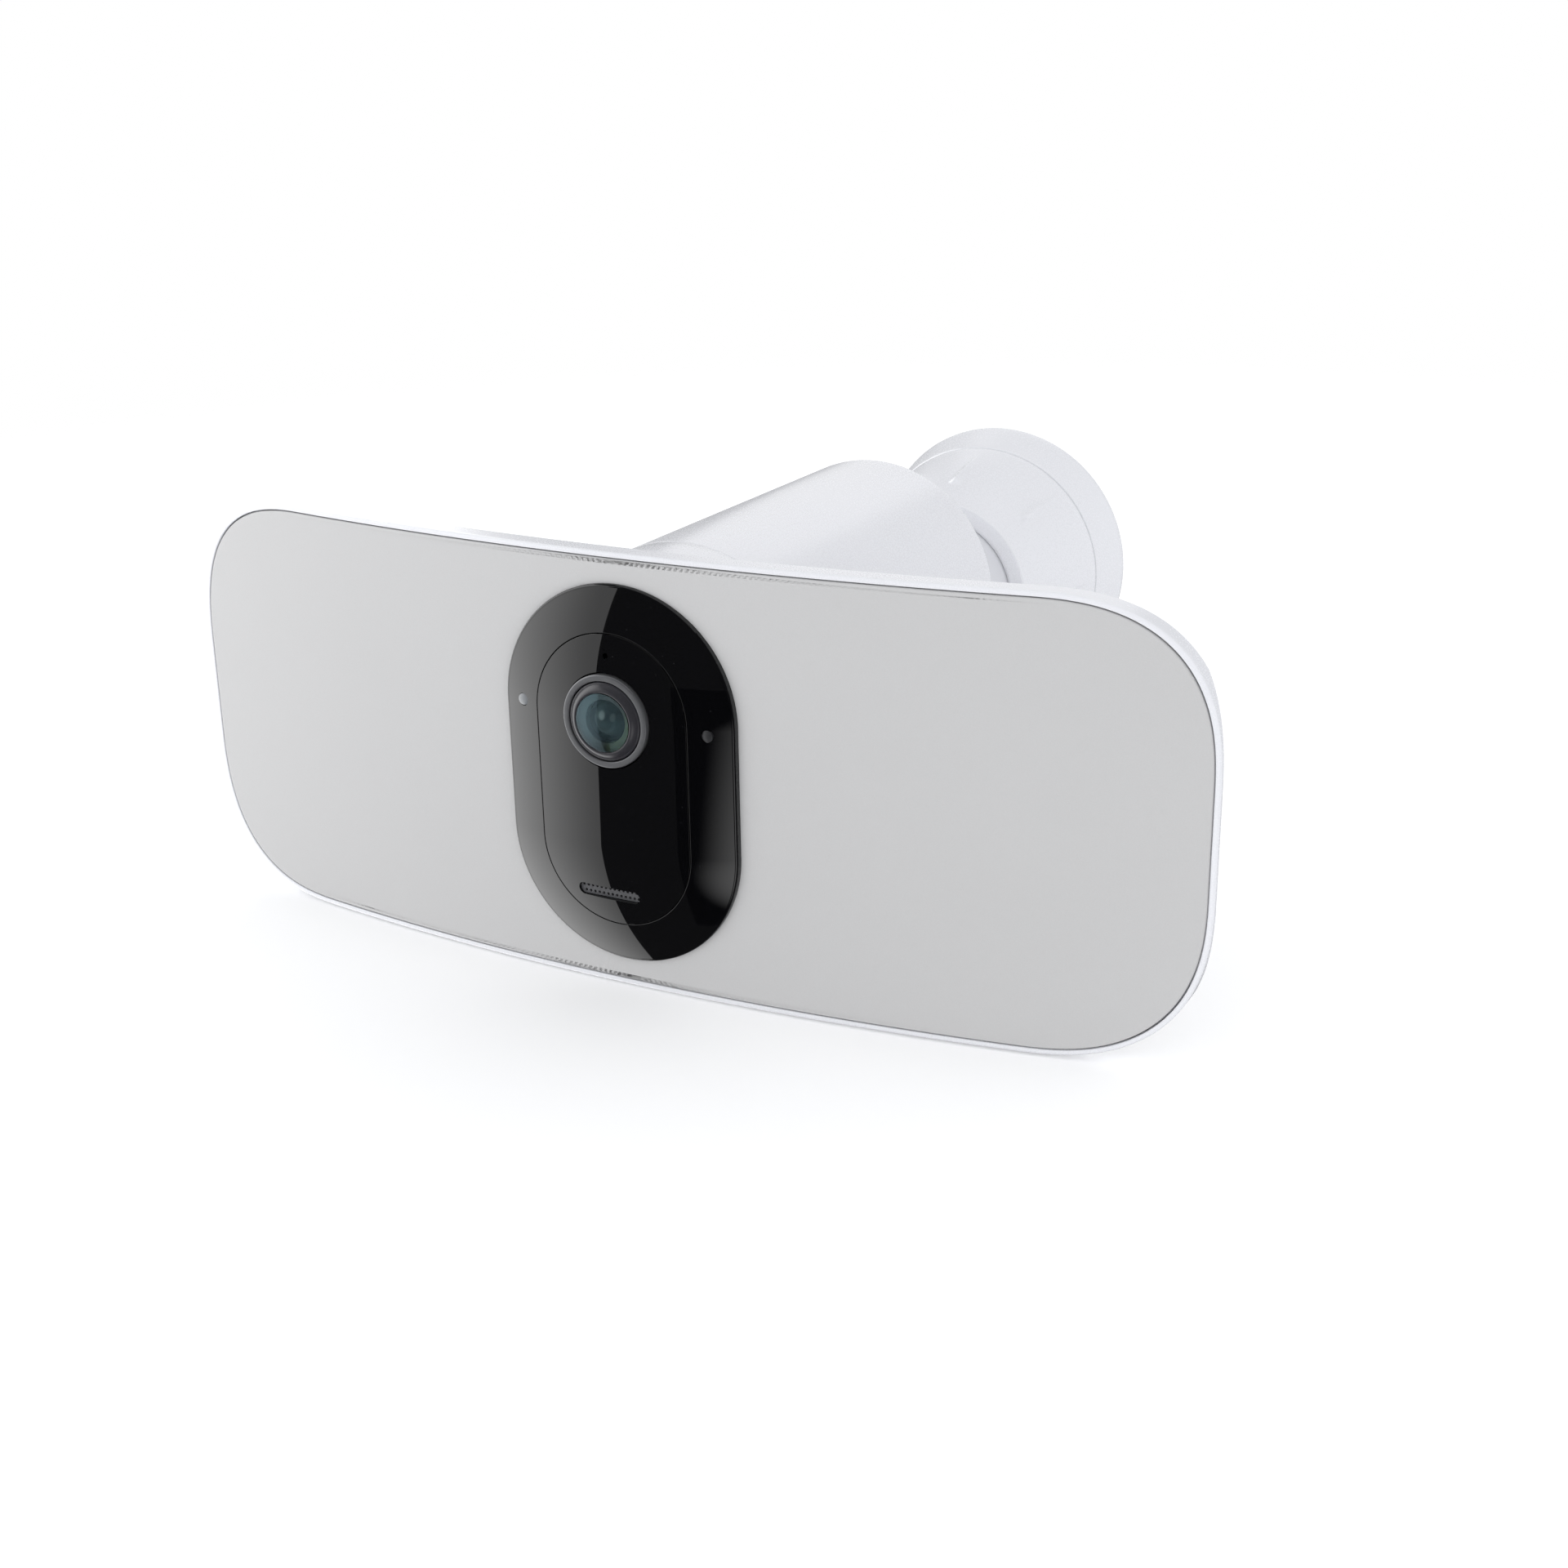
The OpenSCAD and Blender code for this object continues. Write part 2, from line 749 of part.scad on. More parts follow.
module arm_shell() {
    lip = 1.1;
    color(white) place()
        difference() {
            at_arm()
                rotate_extrude()
                    polygon([[arm_bore, arm_end + 0.4], [arm_bore + 0.4, arm_end],
                             [arm_r - lip, arm_end], [arm_r - 0.3 * lip, arm_end + 0.3 * lip],
                             [arm_r, arm_end + lip], [arm_r, arm_front], [arm_bore, arm_front]]);
            release_hole();
        }
}

cap_out = arm_end + 2.5;
cap_in = cap_out + 4;
spigot_r = 8;
cap_screw_r = arm_bore - 8;
cap_screw_spots = [for (a = [60, 120, 0, 180]) [cap_screw_r * cos(a), arm_z + cap_screw_r * sin(a)]];

module arm_end_cap() {
    color(white) place()
        difference() {
            at_arm() rod(arm_bore - fit, cap_out, cap_in);
            rod(spigot_r + fit, cap_out - 1, cap_in + 1);
            for (p = cap_screw_spots)
                translate([p[0], p[1], 0]) rod(1.65, cap_out - 1, cap_in + 1);
        }
}

module end_cap_screws() {
    color(metal) place()
        for (p = cap_screw_spots)
            translate([p[0], p[1], 0])
                union() {
                    rod(1.6, cap_out - 0.5, cap_in + 2);
                    rod(2.8, cap_out - 1.6, cap_out - 0.03);
                }
}

release_s = arm_front - 26;
release_r = 6.5;

module release_hole() {
    translate([0, arm_z - arm_r, release_s])
        rotate([90, 0, 0]) rod(release_r + 0.3, -arm_r / 2, arm_r / 2);
}

module release_button() {
    color([0.55, 0.56, 0.58]) place()
        translate([0, arm_z - arm_r, release_s])
            rotate([90, 0, 0])
                union() {
                    rod(release_r, -arm_wall - 1.3, 0.5);
                    rod(release_r + 1.3, -arm_wall - 2.3, -arm_wall - 1.3);
                }
}

// ---- Ball mount --------------------------------------------------------------------------------

flange_top = cap_out - 1;
flange_low = flange_top - 3.5;
nut_low = cap_in + 0.3;
nut_high = nut_low + 6;

// The neck flares along a parabola from the ball to the flange.
module ball_stem() {
    steps = 8;
    meet = ball_s + sqrt(ball_r * ball_r - stem_r * stem_r) - 1;
    flare = [for (i = [0:steps]) let (u = i / steps)
        [stem_r + (flange_r - 1 - stem_r) * u * u, meet + (flange_low - meet) * u]];
    color([0.88, 0.89, 0.91]) place()
        union() {
            translate([0, 0, ball_s]) sphere(r = ball_r, $fn = 128);
            rotate_extrude()
                polygon(concat([[0, meet]], flare,
                               [[flange_r, flange_low], [flange_r, flange_top], [spigot_r, flange_top],
                                [spigot_r, nut_high + 2], [0, nut_high + 2]]));
        }
}

module stem_washer() {
    color([0.3, 0.3, 0.32]) place() tube(flange_r - 1, spigot_r + fit, flange_top + 0.05, cap_out - 0.05);
}

module stem_nut() {
    color(metal) place()
        difference() {
            rod(11, nut_low, nut_high, $fn = 6);
            rod(spigot_r + fit, nut_low - 1, nut_high + 1);
        }
}

module ball_liner() {
    edge = -10;         // it stays clear of the pressure ring while it turns with the ball
    back_hole = 8;
    color([0.2, 0.2, 0.22]) place()
        translate([0, 0, ball_s])
            difference() {
                intersection() {
                    sphere(r = liner_r, $fn = 128);
                    rod(2 * ball_r, -liner_r, edge);
                }
                sphere(r = ball_r + fit, $fn = 128);
                rod(back_hole, -2 * ball_r, 0);
            }
}

lip_t = 1.4;
ring_low = mouth_s - lip_t - 3.2;
ring_high = mouth_s - lip_t - 0.1;
ring_out = sqrt(pow(ball_r, 2) - pow(ring_low, 2)) + 2.3;

module pressure_ring() {
    color([0.3, 0.3, 0.32]) place()
        translate([0, 0, ball_s])
            difference() {
                rod(ring_out, ring_low, ring_high);
                sphere(r = ball_r + ball_gap, $fn = 128);
            }
}

// Radius of the collar's outer cone at a distance from the wall.
function cone_at(s) = mouth_r + (mouth - s) * collar_slope;

rib_nose_s = mouth - 11.5;
rib_tail_s = base_s + 4;
rib_nose_r = 1.5;
rib_tail_r = 0.5;

module rib() {
    nose = cone_at(rib_nose_s) + 0.7;
    tail = cone_at(rib_tail_s) - 0.3;
    run = rib_nose_s - rib_tail_s;
    rise = tail - nose;
    lean = atan2(rise, run);
    translate([nose, 0, rib_nose_s])
        union() {
            sphere(r = rib_nose_r, $fn = 32);
            rotate([0, 180 - lean, 0])
                cylinder(r1 = rib_nose_r, r2 = rib_tail_r, h = sqrt(run * run + rise * rise), $fn = 32);
        }
}

module lock_collar() {
    low = base_s + seam;
    bevel = 0.5;
    color(white) place()
        difference() {
            union() {
                rotate_extrude()
                    polygon([[boss_r + fit, low], [seam_r - 0.1, low], [cone_at(low + 0.5), low + 0.5],
                             [mouth_r, mouth - 0.4], [mouth_r - 0.4, mouth],
                             [lip_r + 1.2, mouth], [lip_r + 0.6, mouth - bevel], [lip_r, mouth - bevel],
                             [lip_r, low + 1]]);
                for (i = [0:ribs - 1]) rotate([0, 0, 360 * i / ribs]) rib();
            }
            rod(boss_r + fit, base_s - 1, boss_top + 1.5);
            translate([0, 0, ball_s]) sphere(r = liner_r + ball_gap, $fn = 128);
            rod(ring_out + 0.1, ball_s, ball_s + ring_high + 0.1);
            translate([0, 0, ball_s]) sphere(r = ball_r + ball_gap, $fn = 128);
            rod(lip_r + 0.1, ball_s, mouth + 1);
        }
}

module base_shell() {
    color(white) place()
        difference() {
            union() {
                rotate_extrude()
                    polygon([[0, 0.6], [base_r - 0.6, 0.6], [base_r, 1.2], [seam_r + 0.2, base_s - 0.3],
                             [seam_r - 0.1, base_s], [0, base_s]]);
                rod(boss_r, base_s - 1, boss_top);
            }
            rod(plate_r + 0.3, -1, floor_s);
            translate([0, 0, ball_s]) sphere(r = liner_r + fit, $fn = 128);
            lock_screw_hole(1.55);
        }
}

module lock_screw_hole(r) {
    translate([0, -plate_r - 4, plate_s / 2 + 0.6]) rotate([90, 0, 0]) rod(r, -8, 20, $fn = 32);
}

module wall_plate() {
    countersink = 4.6;
    color([0.8, 0.81, 0.83]) place()
        difference() {
            rod(plate_r, 0, plate_s);
            for (i = [0:wall_screws - 1])
                rotate([0, 0, 90 + 360 * i / wall_screws])
                    translate([wall_screw_r, 0, 0]) rod(wall_hole_r, -1, plate_s + 1);
            lock_screw_hole(1.55);
            rod(countersink, -1, plate_s + 1);
        }
}

module wall_gasket() {
    color([0.2, 0.2, 0.21]) place() tube(base_r - 1, plate_r + 0.4, 0, 0.55);
}

module base_lock_screw() {
    color(metal) place()
        translate([0, -plate_r - 4, plate_s / 2 + 0.6])
            rotate([90, 0, 0]) rod(1.5, -7, 1.2, $fn = 32);
}

diffuser_panel();
panel_gasket();
front_bezel();
rear_housing();
housing_gasket();
led_board_left();
led_board_right();
led_chips_left();
led_chips_right();
heat_spreader_left();
heat_spreader_right();
housing_screws();
camera_housing();
camera_face_ring();
camera_face_inner();
lens_ring();
lens_barrel();
front_lens();
rear_lens();
image_sensor();
camera_board();
infrared_leds();
speaker();
speaker_grille();
microphone();
status_window();
light_sensor_window();
motion_sensor();
main_board();
sync_button();
charge_socket();
port_cover();
battery_cradle();
battery_pack();
battery_contacts();
arm_seal_ring();
arm_shell();
arm_end_cap();
end_cap_screws();
release_button();
ball_stem();
stem_washer();
stem_nut();
ball_liner();
pressure_ring();
lock_collar();
base_shell();
wall_plate();
wall_gasket();
base_lock_screw();
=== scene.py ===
# %% [markdown]
# This is a floodlight camera for an outside wall. A wide, gently bent lamp head carries a black
# camera face in its middle, a round arm behind it holds the battery, and a ball held in a screwed
# collar joins the arm to the wall. The sizes come from the imported CAD frame, so that every surface
# made here lies exactly where its CAD node does.

import json
import math

import bmesh
import bpy
import numpy as np
from mathutils import Matrix, Vector


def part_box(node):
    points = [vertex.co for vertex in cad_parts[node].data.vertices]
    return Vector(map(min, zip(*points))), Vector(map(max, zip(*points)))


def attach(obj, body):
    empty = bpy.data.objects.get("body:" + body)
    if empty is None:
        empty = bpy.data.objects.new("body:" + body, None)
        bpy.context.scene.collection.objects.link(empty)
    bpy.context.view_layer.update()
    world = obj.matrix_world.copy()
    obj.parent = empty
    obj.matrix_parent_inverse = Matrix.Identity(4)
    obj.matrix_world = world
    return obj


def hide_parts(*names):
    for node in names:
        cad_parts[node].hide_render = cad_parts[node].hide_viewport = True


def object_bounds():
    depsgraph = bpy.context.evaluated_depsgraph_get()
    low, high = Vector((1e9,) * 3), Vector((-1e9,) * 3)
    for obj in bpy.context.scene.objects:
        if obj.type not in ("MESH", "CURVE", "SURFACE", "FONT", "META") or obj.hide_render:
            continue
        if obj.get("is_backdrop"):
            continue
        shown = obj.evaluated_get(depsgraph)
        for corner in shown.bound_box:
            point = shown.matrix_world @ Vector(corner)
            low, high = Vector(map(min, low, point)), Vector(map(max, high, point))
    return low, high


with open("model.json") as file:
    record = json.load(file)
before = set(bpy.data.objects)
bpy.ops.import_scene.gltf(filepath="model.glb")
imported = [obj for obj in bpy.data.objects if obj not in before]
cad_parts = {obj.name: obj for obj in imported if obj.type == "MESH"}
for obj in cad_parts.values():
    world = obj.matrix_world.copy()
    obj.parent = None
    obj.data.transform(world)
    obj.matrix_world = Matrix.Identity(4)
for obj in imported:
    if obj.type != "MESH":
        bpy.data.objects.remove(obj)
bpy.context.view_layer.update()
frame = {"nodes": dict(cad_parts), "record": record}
MM = 0.001
print("CAD nodes:", len(frame["nodes"]))


# %% Sizes from the frame, in millimetres
def span(node):
    """Lowest and highest corner of a CAD node in millimetres."""
    low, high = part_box(node)
    return np.array(low) / MM, np.array(high) / MM


def half_width(node):
    low, high = span(node)
    return (high[0] - low[0]) / 2


def half_height(node):
    low, high = span(node)
    return (high[2] - low[2]) / 2


def middle_height(node):
    low, high = span(node)
    return (high[2] + low[2]) / 2


def out_of_wall(node):
    """Distances from the wall of a node's near and far ends."""
    low, high = span(node)
    return -high[1], -low[1]


head_half = half_width("front_bezel"), half_height("front_bezel")
panel_half = half_width("diffuser_panel"), half_height("diffuser_panel")
reach = out_of_wall("diffuser_panel")[1]
face_half = half_width("camera_face_ring"), half_height("camera_face_ring")
crown_top = out_of_wall("camera_face_inner")[1]
lens_z = middle_height("lens_ring")
arm_radius = half_width("arm_shell")
arm_z = middle_height("battery_pack")
arm_end, arm_front = out_of_wall("arm_shell")
ball_radius = half_width("ball_stem")
ball_centre = out_of_wall("ball_stem")[0] + ball_radius
collar_low, collar_mouth = out_of_wall("lock_collar")
base_radius = half_width("base_shell")
print("reach", round(reach, 2), "arm", round(arm_end, 2), round(arm_front, 2), "ball", round(ball_centre, 2))

# %% [markdown]
# Most pieces here are either a section carried round an outline, or a profile turned about an axis.
# Both are grids of points, so one helper joins the neighbours of a grid with four-sided faces.
# Points that fall together, as at a pole, are merged, and the faces are then turned outwards.

# %% Grids into meshes
def grid_faces(rows, columns, close_rows=False, close_columns=False):
    """Corner numbers of the faces between each row and column of a grid and the next ones."""
    row = np.arange(rows if close_rows else rows - 1)
    column = np.arange(columns if close_columns else columns - 1)
    row, column = np.meshgrid(row, column, indexing="ij")
    next_row, next_column = (row + 1) % rows, (column + 1) % columns
    corners = [row * columns + column, next_row * columns + column,
               next_row * columns + next_column, row * columns + next_column]
    return np.stack(corners, -1).reshape(-1, 4)


def make_piece(name, points, faces, sharp=35):
    """A smooth-shaded object from points in millimetres; edges turned more than sharp degrees stay crisp."""
    mesh = bpy.data.meshes.new(name)
    mesh.from_pydata((points.reshape(-1, 3) * MM).tolist(), [], faces.tolist())
    build = bmesh.new()
    build.from_mesh(mesh)
    bmesh.ops.remove_doubles(build, verts=build.verts, dist=2e-6)
    bmesh.ops.dissolve_degenerate(build, edges=build.edges, dist=1e-6)
    bmesh.ops.recalc_face_normals(build, faces=build.faces)
    build.to_mesh(mesh)
    build.free()
    mesh.shade_smooth()
    mesh.set_sharp_from_angle(angle=math.radians(sharp))
    piece = bpy.data.objects.new(name, mesh)
    bpy.context.scene.collection.objects.link(piece)
    return piece


def grid_piece(name, points, close_rows=False, close_columns=False, sharp=35):
    rows, columns = points.shape[:2]
    return make_piece(name, points, grid_faces(rows, columns, close_rows, close_columns), sharp)


def revolve(profile, height=0.0, turns=144):
    """Each profile point (radius, distance from the wall) goes round the axis at that height."""
    profile = np.asarray(profile, float)
    angle = np.linspace(0, 2 * np.pi, turns, endpoint=False)
    radius, out = profile[:, :1], profile[:, 1:]
    across = radius * np.cos(angle)
    up = radius * np.sin(angle) + height
    return np.stack([across, -out + 0 * across, up], -1)


def arc(centre, radius, start, stop, steps=8):
    """Points of an arc in a profile; angles in degrees, 0 pointing outwards and 90 away from the wall."""
    angle = np.radians(np.linspace(start, stop, steps + 1))
    return list(np.stack([centre[0] + radius * np.cos(angle), centre[1] + radius * np.sin(angle)], -1))


def turned_piece(name, profile, height=0.0, turns=144, sharp=35):
    """A closed profile turned about the axis."""
    return grid_piece(name, revolve(profile, height, turns), True, True, sharp)


print("grid helpers ready")


# %% Holes
def solid_from(mesh_object):
    bpy.context.view_layer.update()
    graph = bpy.context.evaluated_depsgraph_get()
    return bpy.data.meshes.new_from_object(mesh_object.evaluated_get(graph))


def cut_away(piece, *cutters, sharp=35):
    """Takes closed cutter solids out of a piece and keeps the result as its mesh."""
    for cutter in cutters:
        step = piece.modifiers.new("cut", "BOOLEAN")
        step.operation, step.object, step.solver = "DIFFERENCE", cutter, "EXACT"
        finished = solid_from(piece)
        piece.modifiers.remove(step)
        old, piece.data = piece.data, finished
        bpy.data.meshes.remove(old)
        bpy.data.objects.remove(cutter)
    piece.data.shade_smooth()
    piece.data.set_sharp_from_angle(angle=math.radians(sharp))
    print(piece.name, "cut by", len(cutters), "faces", len(piece.data.polygons))
    return piece


def loop_tables(mesh):
    """Vertex positions in millimetres, and for every face corner its vertex and its face."""
    place = np.zeros(len(mesh.vertices) * 3, np.float32)
    mesh.vertices.foreach_get("co", place)
    vertex = np.zeros(len(mesh.loops), np.int32)
    mesh.loops.foreach_get("vertex_index", vertex)
    sides = np.zeros(len(mesh.polygons), np.int32)
    mesh.polygons.foreach_get("loop_total", sides)
    return place.reshape(-1, 3) / MM, vertex, np.repeat(np.arange(len(sides)), sides)


def exact_normals(piece, surface):
    """Corners on the given surface take its true normal, so that gloss runs over a cut rim undisturbed.
    surface(points) gives each point's distance from the surface and the surface's normal there."""
    mesh = piece.data
    place, vertex, face = loop_tables(mesh)
    distance, normal = surface(place)
    near = np.abs(distance) < 0.01
    on_surface = np.ones(len(mesh.polygons), bool)
    np.logical_and.at(on_surface, face, near[vertex])
    own = np.zeros(len(mesh.loops) * 3, np.float32)
    mesh.corner_normals.foreach_get("vector", own)
    own = own.reshape(-1, 3)
    own[on_surface[face]] = normal[vertex[on_surface[face]]]
    mesh.normals_split_custom_set(own.tolist())
    print(piece.name, "corners on the true surface:", int(on_surface[face].sum()))


def rod_cutter(radius, middle, axis, length, turns=48):
    """A closed cylinder about middle, in millimetres, along axis "x", "y" or "z"."""
    angle = np.linspace(0, 2 * np.pi, turns, endpoint=False)
    along = np.array([-length / 2, -length / 2, length / 2, length / 2])[:, None] + 0 * angle
    size = np.array([0, radius, radius, 0])[:, None]
    parts = {"x": (along, size * np.cos(angle), size * np.sin(angle)),
             "y": (size * np.sin(angle), along, size * np.cos(angle)),
             "z": (size * np.cos(angle), size * np.sin(angle), along)}
    points = np.stack(parts[axis], -1) + np.asarray(middle, float)
    return grid_piece("cutter", points, False, True)


print("cutting helpers ready")

# %% [markdown]
# The lamp head's front is bent round an upright axis far behind it. Its outline is a rectangle whose
# corners are superellipse quarters, a little fuller than circles. One function gives the outline at
# even steps, and one puts a point at a depth behind the bent front, so the bezel, the lens panel and
# the housing all share the same curves and meet with even seams.

# %% The head's curves
bend_radius = 652.6
bend_axis = reach - bend_radius
head_depth = 21.0
corner_power = 2.57
corner_size = 44.0
lip = head_half[0] - panel_half[0]


def even_steps(path, count):
    """A closed path's points again, evenly spaced along its length."""
    closed = np.vstack([path, path[:1]])
    walked = np.concatenate([[0], np.cumsum(np.linalg.norm(np.diff(closed, axis=0), axis=1))])
    at = np.linspace(0, walked[-1], count, endpoint=False)
    return np.stack([np.interp(at, walked, closed[:, k]) for k in range(2)], -1)


def soft_outline(half, corner, count):
    """Points round a rectangle with superellipse corners, |u|^p + |v|^p = 1, and their inward normals."""
    turn = np.linspace(0, np.pi / 2, 500)
    across = half[0] - corner + corner * np.cos(turn) ** (2 / corner_power)
    up = half[1] - corner + corner * np.sin(turn) ** (2 / corner_power)
    quarter = np.stack([across, up], -1)
    back = quarter[::-1]
    path = np.vstack([quarter, back * [-1, 1], quarter * [-1, -1], back * [1, -1]])
    points = even_steps(path, count)
    along = np.roll(points, -1, 0) - np.roll(points, 1, 0)
    along /= np.linalg.norm(along, axis=1)[:, None]
    return points, np.stack([-along[:, 1], along[:, 0]], -1)


def behind_front(across, up, depth):
    """A point of the head: its depth is measured from the bent front towards the bend's axis."""
    out = bend_axis + np.sqrt((bend_radius - depth) ** 2 - across ** 2)
    return np.stack([across, -out, up], -1)


outline_steps = 480
rim, rim_inward = soft_outline(head_half, corner_size, outline_steps)
print("outline points", len(rim), "lip and gap", round(lip, 2))

# %% Depth of the housing's back
back_rounding = 10.0
end_depth = 2.6
end_taper = 45.0
shell_wall = 2.2
seam_depth = 5.75


def soft_least(first, second, blend):
    """The smaller of two depths, rounded off where they are within blend of each other."""
    share = np.clip(0.5 + 0.5 * (second - first) / blend, 0, 1)
    return second + (first - second) * share - blend * share * (1 - share)


def back_depth(across, inset):
    """Depth of the back: a quarter circle in from the rim, and a parabola that thins both ends."""
    rise = np.maximum(back_rounding - inset, 0)
    side = head_depth - back_rounding + np.sqrt(np.maximum(back_rounding ** 2 - rise ** 2, 0))
    u = (np.abs(across) - (head_half[0] - end_taper)) / end_taper
    end = end_depth + (head_depth - end_depth) * (1 - u * np.abs(u))
    edge = np.maximum(0.7 - inset, 0)
    return soft_least(side, end, 1.2) - (0.7 - np.sqrt(0.49 - edge ** 2))


rim_depth = back_depth(rim[:, 0], 0.0)
housing_seam = np.minimum(seam_depth, rim_depth - 0.3)
print("wall depth from", round(rim_depth.min(), 2), "to", round(rim_depth.max(), 2))

# %% [markdown]
# The lens panel is a bent plate of frosted plastic with a pill-shaped hole for the camera. Every ray
# from its middle crosses the hole and the outline once, so rings between the two never cross. A
# modelled edge radius lets the panel's rim catch light over the dark gap round it.

# %% Lens panel
pill_run = face_half[1] - face_half[0]
panel_thick = 1.6


def pill_reach(angle, half_wide):
    """Distance from the middle to a pill's outline along each direction."""
    straight = half_wide / np.maximum(np.abs(np.cos(angle)), 1e-9)
    rise = np.abs(np.sin(angle)) * pill_run
    capped = rise + np.sqrt(np.maximum(rise ** 2 - pill_run ** 2 + half_wide ** 2, 0))
    return np.where(np.abs(straight * np.sin(angle)) <= pill_run, straight, capped)


panel_rim, panel_inward = soft_outline(panel_half, corner_size - lip, outline_steps)
direction = np.arctan2(panel_rim[:, 1], panel_rim[:, 0])
hole_reach = pill_reach(direction, face_half[0] - 1.9)
hole_rim = np.stack([hole_reach * np.cos(direction), hole_reach * np.sin(direction)], -1)
panel_edge = 0.4
edge_turn = np.radians(np.linspace(0, 90, 6))
edge_insets = panel_edge * (1 - np.sin(edge_turn))
edge_depths = panel_edge * (1 - np.cos(edge_turn))
shares = np.concatenate([[0, 0], np.linspace(0, 1, 40), np.ones(8), [1]])
insets = np.concatenate([[0, 0], np.linspace(0, 0, 39), [1.2], edge_insets, [0], [0], [1.2]])
depths = np.concatenate([[panel_thick, 0.2], np.zeros(40), edge_depths, [panel_thick - 0.3], [panel_thick],
                         [panel_thick]])
shares, insets, depths = (values[:, None] for values in (shares, insets, depths))
flat = (hole_rim[None] + (panel_rim - hole_rim)[None] * shares[..., None]
        + insets[..., None] * panel_inward[None])
panel = grid_piece("lens_panel", behind_front(flat[..., 0], flat[..., 1], depths), True, True)
print("lens panel faces", len(panel.data.polygons))

# %% [markdown]
# The bezel is the white rim round the panel: a section with a rounded lip, a step that holds the
# panel, and a straight outer wall, carried round the outline. Where the head thins out at its ends
# the section is pressed flatter, so that the seam to the housing runs on round the tips.

# %% Bezel
bezel_depth = 5.5
lip_width = lip - 0.3


def rounded_corner(inset, depth, radius, turn, steps=5):
    """Insets and depths of a small quarter arc about a corner's centre, from turn through 90 degrees."""
    angle = np.radians(np.linspace(turn, turn + 90, steps + 1))
    return [(inset + radius * np.cos(a), depth + radius * np.sin(a)) for a in angle]


bezel_section = np.array(
    [(0, bezel_depth), (0, 3), (0, 1.2)] + rounded_corner(0.6, 0.6, 0.6, 180)
    + rounded_corner(lip_width - 0.25, 0.25, 0.25, 270, 3)
    + [(lip_width, 1.0), (lip_width, 2.3), (5.5, 2.3), (5.5, 3.6), (2.2, 3.6), (2.2, bezel_depth)])
inset, depth = bezel_section[:, :1], bezel_section[:, 1:]
room = np.minimum(bezel_depth, housing_seam - 0.25)
pressed = np.where(depth < 0.7, depth, 0.7 + (depth - 0.7) * (room - 0.7) / (bezel_depth - 0.7))
flat = rim[None] + inset[..., None] * rim_inward[None]
bezel = grid_piece("bezel_rim", behind_front(flat[..., 0], flat[..., 1], pressed), True, True)
print("bezel faces", len(bezel.data.polygons))

# %% [markdown]
# The rear housing is one moulded shell. Its outside starts at the seam, climbs the side wall, rolls
# over a generous radius and runs flat across the back, and its ends thin out along a parabola. The
# inside is the same surface moved in by the wall. Rings of points at growing insets make both.

# %% Housing shell
roll = back_rounding * (1 - np.cos(np.linspace(0, np.pi / 2, 22)))
steps_in = np.concatenate([[0.06, 0.2, 0.45, 0.8], roll[3:], [11.5, 13, 15]])
inward_share = np.linspace(0, 1, 42)[1:]


def rings(start_inset):
    """Flat places of rings: first stepping in from the rim, then shrinking to the middle."""
    stepped = rim[None] + (start_inset + steps_in)[:, None, None] * rim_inward[None]
    shrunk = stepped[-1][None] * (1 - inward_share)[:, None, None]
    return np.concatenate([stepped, shrunk])


level = np.concatenate([steps_in, np.full(len(inward_share), 30.0)])[:, None]
outer = rings(0.0)
outer_depth = back_depth(outer[..., 0], level)
inner = rings(shell_wall)
under = back_depth(inner[..., 0], level + shell_wall)
inner_depth = np.maximum(under - shell_wall, np.minimum(under - 0.3, seam_depth))
wall_flat = np.stack([rim + 0.3 * rim_inward, rim + 0.08 * rim_inward, rim, rim, rim])
wall_depth = np.stack([housing_seam, housing_seam + 0.08, housing_seam + 0.28,
                       (housing_seam + 0.28 + rim_depth) / 2, rim_depth])
wall_depth = np.minimum(wall_depth, rim_depth)
flat = np.concatenate([inner[::-1], wall_flat, outer])
depth = np.concatenate([inner_depth[::-1], wall_depth, outer_depth])
housing = grid_piece("housing_shell", behind_front(flat[..., 0], flat[..., 1], depth), False, True, sharp=50)
print("housing faces", len(housing.data.polygons))

# %% [markdown]
# The arm plugs into a short round socket that grows out of the back with a small fillet. The fillet's
# foot follows the back's own depth at every angle, so it lies on the surface all the way round.

# %% Arm socket
fillet = 0.9
angle = np.linspace(0, 2 * np.pi, 192, endpoint=False)


def distance_from_rim(across, up):
    """How far a point lies inside the outline, for the back's rounding."""
    gap = np.stack([across, up], -1)[..., None, :] - rim
    return np.sqrt((gap ** 2).sum(-1)).min(-1)


def back_out(radius):
    """Distance from the wall of the back's surface on a circle about the arm's axis."""
    across, up = radius * np.cos(angle), arm_z + radius * np.sin(angle)
    return -behind_front(across, up, back_depth(across, distance_from_rim(across, up)))[:, 1]


foot_out = back_out(arm_radius + fillet)
rows_radius, rows_out = [], []
socket_end = arm_front + 0.05
for radius, out in [(arm_radius - 3.0, foot_out + 1.5), (arm_radius - 3.0, socket_end),
                    (arm_radius - 0.15, socket_end), (arm_radius - 0.04, socket_end + 0.04),
                    (arm_radius, socket_end + 0.15), (arm_radius, (socket_end + foot_out - fillet) / 2)]:
    rows_radius.append(np.full(len(angle), radius))
    rows_out.append(np.broadcast_to(out, len(angle)))
for turn in np.radians(np.linspace(0, 90, 9)):
    radius = arm_radius + fillet * (1 - np.cos(turn))
    rows_radius.append(np.full(len(angle), radius))
    rows_out.append(back_out(radius) * np.sin(turn) ** 2 + (foot_out - fillet) * np.cos(turn) ** 2
                    + fillet * (np.sin(turn) - np.sin(turn) ** 2) - 0.02)
rows_radius.append(np.full(len(angle), arm_radius + fillet))
rows_out.append(foot_out + 1.5)
